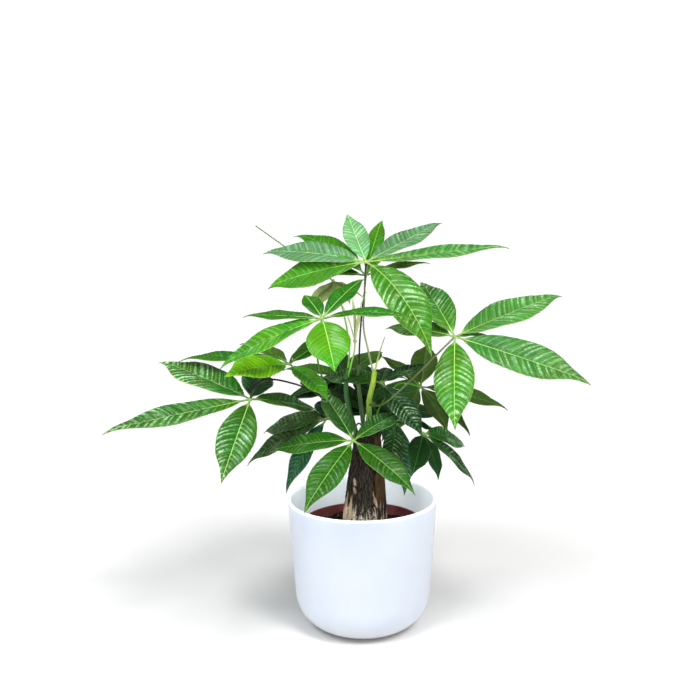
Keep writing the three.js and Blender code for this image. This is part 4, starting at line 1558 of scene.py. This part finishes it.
LEAVES: tuple[Leaf, ...] = (
    Leaf(
        "leaf_crown", Slot.BRIGHT, hub=(6, -25, 399), lean=36, azimuth=260,
        stalk=((13, -14, 281), (7, -12, 308), (3, -10, 329), (4, -9, 360), (5, -14, 385)),
        stalk_tones=(Tone.CREAM, Tone.BROWN),
        leaflets=(
            Leaflet(10, 150, 6, Tone.SHEENED_GREEN, width=0.18, arch=0, frost=0.4, light=1.05),
            Leaflet(48, 125, 13, Tone.MINT_SHEEN, width=0.26, arch=0, frost=0.4, light=0.6),
            Leaflet(102, 100, 6, Tone.MINT_SHEEN, width=0.26, upturn=0, arch=-0.02, frost=0.55),
            Leaflet(155, 125, 8, Tone.MINT_SHEEN, width=0.28, upturn=0.1, frost=0.15, light=0.6),
            Leaflet(177, 110, 14, Tone.FRESH, width=0.42, upturn=0, frost=0.1, light=1.15),
            Leaflet(299, 126, 15, Tone.FRESH, width=0.36, arch=0.13, frost=0.6, light=1.05),
        ),
    ),
    Leaf(
        "leaf_crown_back", Slot.MID, hub=(6, 20, 381), lean=25, azimuth=265,
        stalk=((-2, 15, 282), (-1, 15, 310), (2, 16, 345), (5, 18, 368)),
        stalk_tones=(Tone.BROWN, Tone.BROWN),
        leaflets=(
            Leaflet(16, 72, -1, Tone.OLIVE, width=0.24),
            Leaflet(58, 85, -8, Tone.SPRING, width=0.2),
            Leaflet(77, 95, -11, Tone.FRESH, width=0.22),
            Leaflet(138, 105, -8, Tone.FRESH, arch=0.08),
            Leaflet(164, 92, 7, Tone.OLIVE),
        ),
    ),
    Leaf(
        "leaf_bright", Slot.BRIGHT, hub=(-38, -75, 349), lean=29, azimuth=260,
        stalk=((-9, 3, 226), (-33, 0, 258), (-44, -30, 296), (-43, -60, 326)),
        stalk_tones=(Tone.OLIVE, Tone.SPRING),
        leaflets=(
            Leaflet(344, 93, -7, Tone.VIVID, width=0.24, upturn=0.5, arch=0.06),
            Leaflet(56, 75, -1, Tone.VIVID, width=0.32),
            Leaflet(113, 50, 2, Tone.VIVID, width=0.4),
            Leaflet(158, 90, 8, Tone.GRASS, width=0.22, arch=0.01),
            Leaflet(190, 114, 18, Tone.FRESH, width=0.32, upturn=0.2, frost=0.25, light=1.3),
            Leaflet(280, 65, 14, Tone.LIME, width=0.66, quilt=0.45),
        ),
    ),
    Leaf(
        "leaf_right", Slot.BRIGHT, hub=(95, -35, 323), lean=36, azimuth=247,
        stalk=((8, -12, 248), (22, -36, 254), (50, -46, 281), (82, -42, 312)),
        stalk_tones=(Tone.OLIVE, Tone.TAUPE),
        leaflets=(
            Leaflet(28, 42, 30, Tone.OLIVE, width=0.3),
            Leaflet(35, 148, 16, Tone.SHEENED_GREEN, width=0.3, upturn=0.1, arch=0.01, frost=0.5, light=1.2),
            Leaflet(108, 95, -4, Tone.GRASS, width=0.36, frost=0.8, light=1.7),
            Leaflet(146, 90, 9, Tone.GRASS, width=0.36, frost=0.4),
            Leaflet(263, 104, 14, Tone.FRESH, width=0.39, frost=0.65, light=1.25),
            Leaflet(328, 146, 7, Tone.SHEENED_GREEN, width=0.31, upturn=0.1, arch=0.01, frost=0.4),
        ),
    ),
    Leaf(
        "leaf_left", Slot.BRIGHT, hub=(-112, -55, 265), lean=32, azimuth=309,
        stalk=((-6, -3, 205), (-20, 0, 228), (-46, 0, 257), (-75, -22, 275), (-100, -44, 282),
               (-109, -53, 275)),
        stalk_tones=(Tone.BROWN, Tone.BROWN),
        leaflets=(
            Leaflet(27, 95, 15, Tone.GRASS, frost=0.5),
            Leaflet(80, 70, 10, Tone.BLUE, width=0.48, frost=0.6),
            Leaflet(146, 120, 15, Tone.GRASS, width=0.4, upturn=0, arch=0.01, frost=0.6),
            Leaflet(203, 149, 15, Tone.GRASS, width=0.23, arch=0, frost=0.55),
            Leaflet(262, 104, 14, Tone.GRASS, width=0.36, arch=0.02, frost=0.5),
        ),
    ),
    Leaf(
        "leaf_left_upper", Slot.MID, hub=(-74, -20, 294), lean=24, azimuth=321,
        stalk=((-14, 8, 279), (-35, 4, 300), (-58, -8, 308), (-70, -16, 303)),
        stalk_tones=(Tone.BROWN, Tone.OLIVE),
        leaflets=(
            Leaflet(56, 80, -11, Tone.GRASS, width=0.3),
            Leaflet(130, 85, 15, Tone.OLIVE),
            Leaflet(173, 118, 18, Tone.GRASS, width=0.26),
            Leaflet(219, 80, 5, Tone.SPRING, width=0.52, upturn=0),
            Leaflet(309, 68, 0, Tone.FRESH, width=0.46, upturn=0, frost=0.15, light=1.6),
        ),
    ),
    Leaf(
        "leaf_front", Slot.MID, hub=(-9, -70, 225), lean=35, azimuth=275,
        stalk=((2, -8, 205), (0, -24, 228), (-5, -48, 236), (-8, -64, 231)),
        stalk_tones=(Tone.OLIVE, Tone.OLIVE),
        leaflets=(
            Leaflet(46, 80, 12, Tone.SHADY, width=0.3, frost=0.4, light=1.5),
            Leaflet(118, 72, -4, Tone.SHADY, frost=0.4),
            Leaflet(173, 90, 20, Tone.VIVID, width=0.33, upturn=0.2, frost=0.15, light=0.8),
            Leaflet(241, 98, 2, Tone.VIVID, width=0.34, frost=0.2, light=0.75),
            Leaflet(309, 92, -6, Tone.VIVID, width=0.33, frost=0.15, light=0.65),
        ),
    ),
    Leaf(
        "leaf_left_low", Slot.DEEP, hub=(-37, 12, 228), lean=27, azimuth=224,
        stalk=((-4, 7, 205), (-14, 10, 226), (-28, 12, 233)),
        stalk_tones=(Tone.BROWN, Tone.GRASS),
        leaflets=(
            Leaflet(95, 80, 14, Tone.DEEP, frost=0.3),
            Leaflet(154, 95, 10, Tone.DUSK, width=0.4, upturn=0, frost=0.3),
            Leaflet(183, 105, 12, Tone.DUSK, upturn=0, frost=0.3),
            Leaflet(218, 90, 28, Tone.BLUE, width=0.36, frost=0.15, light=1.4),
        ),
    ),
    Leaf(
        "leaf_right_mid", Slot.OLIVE, hub=(66, 50, 254), lean=50, azimuth=76,
        stalk=((10, 9, 205), (20, 20, 238), (42, 38, 260)),
        stalk_tones=(Tone.OLIVE, Tone.SPRING),
        leaflets=(
            Leaflet(230, 70, 5, Tone.OLIVE, width=0.28),
            Leaflet(273, 85, 5, Tone.OLIVE, width=0.34),
            Leaflet(346, 105, 17, Tone.OLIVE, width=0.26, upturn=0),
            Leaflet(32, 78, 20, Tone.DUSK),
            Leaflet(59, 70, 10, Tone.OLIVE, width=0.4),
            Leaflet(110, 80, 14, Tone.OLIVE),
        ),
    ),
    Leaf(
        "leaf_right_low", Slot.DEEP, hub=(65, -5, 215), lean=43, azimuth=337,
        stalk=((13, -4, 205), (28, -6, 226), (50, -6, 225)),
        stalk_tones=(Tone.BROWN, Tone.GRASS),
        leaflets=(
            Leaflet(4, 95, 11, Tone.SHADY, width=0.3, upturn=0, frost=0.6),
            Leaflet(34, 88, 4, Tone.SHADY, width=0.32, upturn=0, frost=0.7, light=1.8),
            Leaflet(262, 70, 10, Tone.DEEP),
            Leaflet(292, 60, 6, Tone.DEEP),
        ),
    ),
    Leaf(
        "leaf_centre", Slot.DEEP, hub=(21, -5, 270), lean=23, azimuth=272,
        stalk=((8, -11, 246), (15, -6, 258)),
        stalk_tones=(Tone.GRASS, Tone.GRASS),
        leaflets=(
            Leaflet(20, 52, -14, Tone.DEEP, width=0.42, frost=0.4),
            Leaflet(80, 45, 11, Tone.DEEP, width=0.42, frost=0.4),
            Leaflet(148, 78, 14, Tone.GRASS, width=0.42, upturn=0, frost=0.45, light=0.8),
            Leaflet(303, 78, 16, Tone.DEEP, width=0.4, frost=0.5),
        ),
    ),
    Leaf(
        "leaf_hanging", Slot.DEEP, hub=(38, 22, 224), lean=30, azimuth=300,
        stalk=((13, 3, 203), (25, 14, 227)),
        stalk_tones=(Tone.OLIVE, Tone.GRASS),
        leaflets=(
            Leaflet(20, 60, 20, Tone.DEEP),
            Leaflet(240, 30, 30, Tone.BLUE, width=0.42, frost=0.4, light=1.6),
            Leaflet(269, 65, 32, Tone.SHADY, width=0.34, frost=0.5),
            Leaflet(292, 82, 42, Tone.BLUE, width=0.3, frost=0.4, light=1.6),
        ),
    ),
    Leaf(
        "leaf_inner", Slot.DEEP, hub=(10, 40, 238), lean=40, azimuth=270,
        stalk=((2, 11, 222), (5, 24, 234)),
        stalk_tones=(Tone.OLIVE, Tone.GRASS),
        leaflets=(
            Leaflet(350, 52, 8, Tone.DEEP, width=0.42, frost=0.3),
            Leaflet(60, 42, 20, Tone.SHADY, width=0.42, frost=0.3),
            Leaflet(300, 45, 10, Tone.DEEP, width=0.42),
        ),
    ),
    Leaf(
        "leaf_young_grey", Slot.PALE, hub=(-29, 60, 371), lean=20, azimuth=90,
        stalk=((-14, 9, 280), (-12, 16, 304), (-17, 33, 335), (-25, 52, 362)),
        stalk_tones=(Tone.SPRING, Tone.CREAM),
        hub_tone=Tone.CREAM,
        bare_rib=(196, 103, 33),
        leaflets=(
            Leaflet(200, 45, 45, Tone.GREY, width=0.6, quilt=0.35),
            Leaflet(240, 42, 50, Tone.GREY, width=0.6, quilt=0.35),
            Leaflet(0, 40, 30, Tone.GREY, width=0.6, quilt=0.35),
            Leaflet(320, 38, 50, Tone.GREY, width=0.5, quilt=0.35),
        ),
    ),
    Leaf(
        "leaf_young_pale", Slot.PALE, hub=(-6, 5, 313), lean=10, azimuth=270,
        stalk=((-14, 7, 274), (-10, 4, 290), (-7, 4, 302)),
        stalk_tones=(Tone.SPRING, Tone.CREAM),
        hub_tone=Tone.CREAM,
        leaflets=(
            Leaflet(185, 46, -72, Tone.CREAM, width=0.09, quilt=0.35),
            Leaflet(110, 50, -80, Tone.CREAM, width=0.09, quilt=0.35),
            Leaflet(20, 54, -78, Tone.CREAM, width=0.09, quilt=0.35),
            Leaflet(300, 44, -70, Tone.CREAM, width=0.09, quilt=0.35),
        ),
    ),
    Leaf(
        "leaf_back_olive", Slot.OLIVE, hub=(-17, 70, 262), lean=18, azimuth=270,
        stalk=((-2, 15, 256), (-8, 38, 268), (-14, 60, 268)),
        stalk_tones=(Tone.OLIVE, Tone.SPRING),
        leaflets=(
            Leaflet(15, 75, 10, Tone.SHADY),
            Leaflet(60, 90, 5, Tone.OLIVE),
            Leaflet(105, 95, 5, Tone.SHADY),
            Leaflet(150, 85, 8, Tone.OLIVE),
            Leaflet(195, 70, 14, Tone.SHADY),
        ),
    ),
    Leaf(
        "leaf_back_left", Slot.DEEP, hub=(-38, 48, 246), lean=22, azimuth=230,
        stalk=((-2, 12, 203), (-12, 26, 230), (-28, 42, 246)),
        stalk_tones=(Tone.OLIVE, Tone.GRASS),
        leaflets=(
            Leaflet(75, 75, 8, Tone.DEEP),
            Leaflet(112, 85, 8, Tone.SHADY),
            Leaflet(150, 70, 10, Tone.DEEP, width=0.38),
        ),
    ),
    Leaf(
        "leaf_back_low", Slot.DEEP, hub=(15, 84, 216), lean=28, azimuth=275,
        stalk=((7, 11, 203), (8, 30, 224), (12, 64, 226)),
        stalk_tones=(Tone.OLIVE, Tone.SPRING),
        leaflets=(
            Leaflet(15, 95, 12, Tone.DEEP),
            Leaflet(55, 105, 8, Tone.SHADY),
            Leaflet(95, 110, 6, Tone.DEEP),
            Leaflet(135, 105, 8, Tone.SHADY),
            Leaflet(170, 95, 14, Tone.DEEP),
            Leaflet(265, 50, 20, Tone.DEEP, width=0.45),
        ),
    ),
)

SHOOTS: tuple[Shoot, ...] = (
    Shoot(
        "shoot_main", 2.9,
        ((6, -7, 205), (8, -10, 238), (8, -12, 252), (12, -14, 271), (14, -14, 284)),
        (Tone.GRASS, Tone.SPROUT),
        twig_axis=((13, -14, 279), (16, -14, 292), (19, -13, 303), (25, -10, 320)),
    ),
    Shoot(
        "shoot_left", 2.6,
        ((-3, 2, 205), (-9, 3, 225), (-14, 5, 245), (-16, 7, 262), (-14, 8, 284)),
        (Tone.SHADY, Tone.GRASS),
    ),
    Shoot(
        "shoot_back", 2.3,
        ((4, 9, 205), (0, 14, 240), (-3, 15, 270), (-2, 15, 286)),
        (Tone.DUSK, Tone.OLIVE),
    ),
)

LEAF_FINISHES: tuple[LeafFinish, ...] = (
    LeafFinish(Slot.BRIGHT),
    LeafFinish(Slot.MID, rib=(0.31, 0.60, 0.10), gloss=0.1),
    LeafFinish(Slot.DEEP, rib=(0.065, 0.220, 0.045), underside=(0.033, 0.080, 0.024), roughness=0.28,
               gloss=0.08),
    LeafFinish(Slot.OLIVE, rib=(0.15, 0.30, 0.06), underside=(0.075, 0.150, 0.030), roughness=0.4,
               gloss=0.08),
    LeafFinish(Slot.PALE, rib=(0.75, 0.80, 0.50), underside=(0.70, 0.80, 0.46), roughness=0.5,
               groove_painted_shade=0.2),
)


@dataclass
class Studio:
    """A wide pale floor under a white sky, soft lights, and the camera. Sizes in metres."""

    floor_start: float = 0.3
    floor_radius: float = 40
    floor_rings: int = 12
    floor_sides: int = 96
    sky_light: float = 0.29
    sky_seen: float = 1.1
    aim: Point = (0, 0, 0.22)
    sun_width: float = 19
    sun_gloss: float = 0.5
    camera_place: Point = (-0.0114, -1.1056, 0.4968)
    camera_pitch: float = 9.87
    camera_roll: float = -0.6
    lens: float = 55
    sensor: float = 36
    finish: FloorFinish = field(default_factory=FloorFinish)
    spared: bpy.types.Collection | None = None

    def build_floor(self) -> None:
        """Builds the floor, as rings that widen from under the planter."""
        sides = self.floor_sides
        angles = 2 * np.pi * np.arange(sides) / sides
        rings = [np.stack([radius * np.cos(angles), radius * np.sin(angles), np.zeros(sides)], axis=1)
                 for radius in np.geomspace(self.floor_start, self.floor_radius, self.floor_rings)]
        points = np.concatenate([*rings, [[0.0, 0.0, 0.0]]])
        faces = [*grid_faces(len(rings), sides, ring=True).tolist(),
                 *fan_faces(0, sides, len(points) - 1, flip=True).tolist()]
        mesh = bpy.data.meshes.new("studio_floor")
        mesh.from_pydata(points.tolist(), [], faces)
        mesh.shade_smooth()
        mesh.materials.append(self.finish.material())
        floor = bpy.data.objects.new("studio_floor", mesh)
        bpy.context.scene.collection.objects.link(floor)
        self.spared = spare("spared_by_lamps", [floor])

    def add_light(self, name: str, place: Point, size: float, power: float, tint: Colour,
                  spares_floor: bool = True) -> bpy.types.Object:
        """Adds one soft square light that faces the plant.

        Args:
            name: the light's name.
            place: where it hangs.
            size: its side.
            power: its power, in watts.
            tint: its colour.
            spares_floor: whether the floor stays out of its light.

        Returns:
            The lamp.
        """
        light = bpy.data.lights.new(name, "AREA")
        light.shape, light.size, light.energy, light.color = "SQUARE", size, power, tint
        lamp = bpy.data.objects.new(name, light)
        lamp.location = place
        aim = Vector(self.aim) - Vector(place)
        lamp.rotation_euler = aim.to_track_quat("-Z", "Y").to_euler()
        lamp.visible_camera = False
        if spares_floor:
            lamp.light_linking.receiver_collection = self.spared
        bpy.context.scene.collection.objects.link(lamp)
        return lamp

    def light_pot(self, planter: bpy.types.Object, leaves: list[bpy.types.Object]) -> None:
        """Adds the soft light inside the planter's wall, which the leaves over it don't shade.

        Args:
            planter: the one piece that it lights.
            leaves: the pieces that cast no shadow in it.
        """
        lamp = self.add_light("skylight_pot", (0.0, -0.03, 0.42), 0.12, 1.0, (0.86, 0.95, 1.0))
        lit = bpy.data.collections.new("lit_pot")
        lit.objects.link(planter)
        lamp.light_linking.receiver_collection = lit
        lamp.light_linking.blocker_collection = spare("no_shadow_in_pot", leaves)

    def add_sun(self, name: str, bearing: float, height: float, strength: float, tint: Colour) -> None:
        """Adds one soft sun, for the same light all over the floor.

        Args:
            name: the light's name.
            bearing: the compass angle it stands at, in degrees.
            height: its angle above the floor, in degrees.
            strength: its strength.
            tint: its colour.
        """
        light = bpy.data.lights.new(name, "SUN")
        light.angle, light.energy, light.color = math.radians(self.sun_width), strength, tint
        light.specular_factor = self.sun_gloss
        lamp = bpy.data.objects.new(name, light)
        level, turn = math.radians(height), math.radians(bearing)
        away = Vector((math.cos(level) * math.cos(turn), math.cos(level) * math.sin(turn), math.sin(level)))
        lamp.rotation_euler = (-away).to_track_quat("-Z", "Y").to_euler()
        bpy.context.scene.collection.objects.link(lamp)

    def build_lights(self) -> None:
        """Builds the white sky, which the camera sees brighter than it lights, and the lights."""
        world = bpy.data.worlds.new("white_sky")
        world.use_nodes = True
        tree = world.node_tree
        background = tree.nodes["Background"]
        background.inputs["Color"].default_value = (1, 1, 1, 1)
        seen = tree.nodes.new("ShaderNodeLightPath").outputs["Is Camera Ray"]
        share = tree.nodes.new("ShaderNodeMapRange")
        tree.links.new(seen, share.inputs["Value"])
        share.inputs["To Min"].default_value = self.sky_light
        share.inputs["To Max"].default_value = self.sky_seen
        tree.links.new(share.outputs["Result"], background.inputs["Strength"])
        bpy.context.scene.world = world
        self.add_sun("sun_right", -58, 51, 1.6, (1.0, 0.99, 0.97))
        self.add_sun("sun_left", -122, 51, 0.95, (0.96, 0.99, 1.0))
        self.add_sun("sun_top", -90, 75, 0.75, (1.0, 1.0, 1.0))
        self.add_light("skylight_top", (-0.4, -0.2, 1.8), 0.35, 9, (0.94, 0.99, 1.0))
        self.add_light("fill_back", (0.1, 1.3, 0.12), 0.35, 4, (0.96, 0.99, 1.0))
        self.add_light("fill_left", (-1.0, -0.85, 0.62), 0.6, 10, (0.97, 0.98, 1.0))
        self.add_light("fill_front", (0.1, -1.35, 0.62), 0.6, 3, (1.0, 1.0, 1.0), spares_floor=False)
        self.add_light("fill_right", (1.1, -0.75, 0.45), 0.6, 6, (1.0, 0.99, 0.98))

    def build_camera(self) -> None:
        """Sets the camera to the photograph's viewing angle."""
        data = bpy.data.cameras.new("camera")
        data.lens, data.sensor_width = self.lens, self.sensor
        camera = bpy.data.objects.new("camera", data)
        tilt = Matrix.Rotation(math.radians(90 - self.camera_pitch), 4, "X")
        roll = Matrix.Rotation(math.radians(self.camera_roll), 4, "Z")
        camera.matrix_world = Matrix.Translation(self.camera_place) @ tilt @ roll
        bpy.context.scene.collection.objects.link(camera)
        bpy.context.scene.camera = camera
        bpy.context.scene.view_settings.view_transform = "Standard"

    def build(self) -> None:
        """Builds the whole studio."""
        self.build_camera()
        self.build_floor()
        self.build_lights()


def main() -> None:
    """Loads the frame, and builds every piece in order."""
    logging.basicConfig(level=logging.INFO, format="%(name)s %(message)s")
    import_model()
    noise.seed_set(SEED)
    studio = Studio()
    studio.build()
    Planter().build()
    pot, trunk = NurseryPot(), Trunk()
    pot.build()
    Soil(pot, trunk).build()
    trunk.build()
    stem = StemFinish().material()
    for shoot in SHOOTS:
        shoot.build(stem)
    finishes = {finish.slot: finish.material() for finish in LEAF_FINISHES}
    for leaf in LEAVES:
        leaf.build(finishes[leaf.slot])
    pieces = bpy.data.objects
    studio.light_pot(pieces["planter_glazed"], [pieces[f"{leaf.node}_blades"] for leaf in LEAVES])


if __name__ == "__main__":
    main()
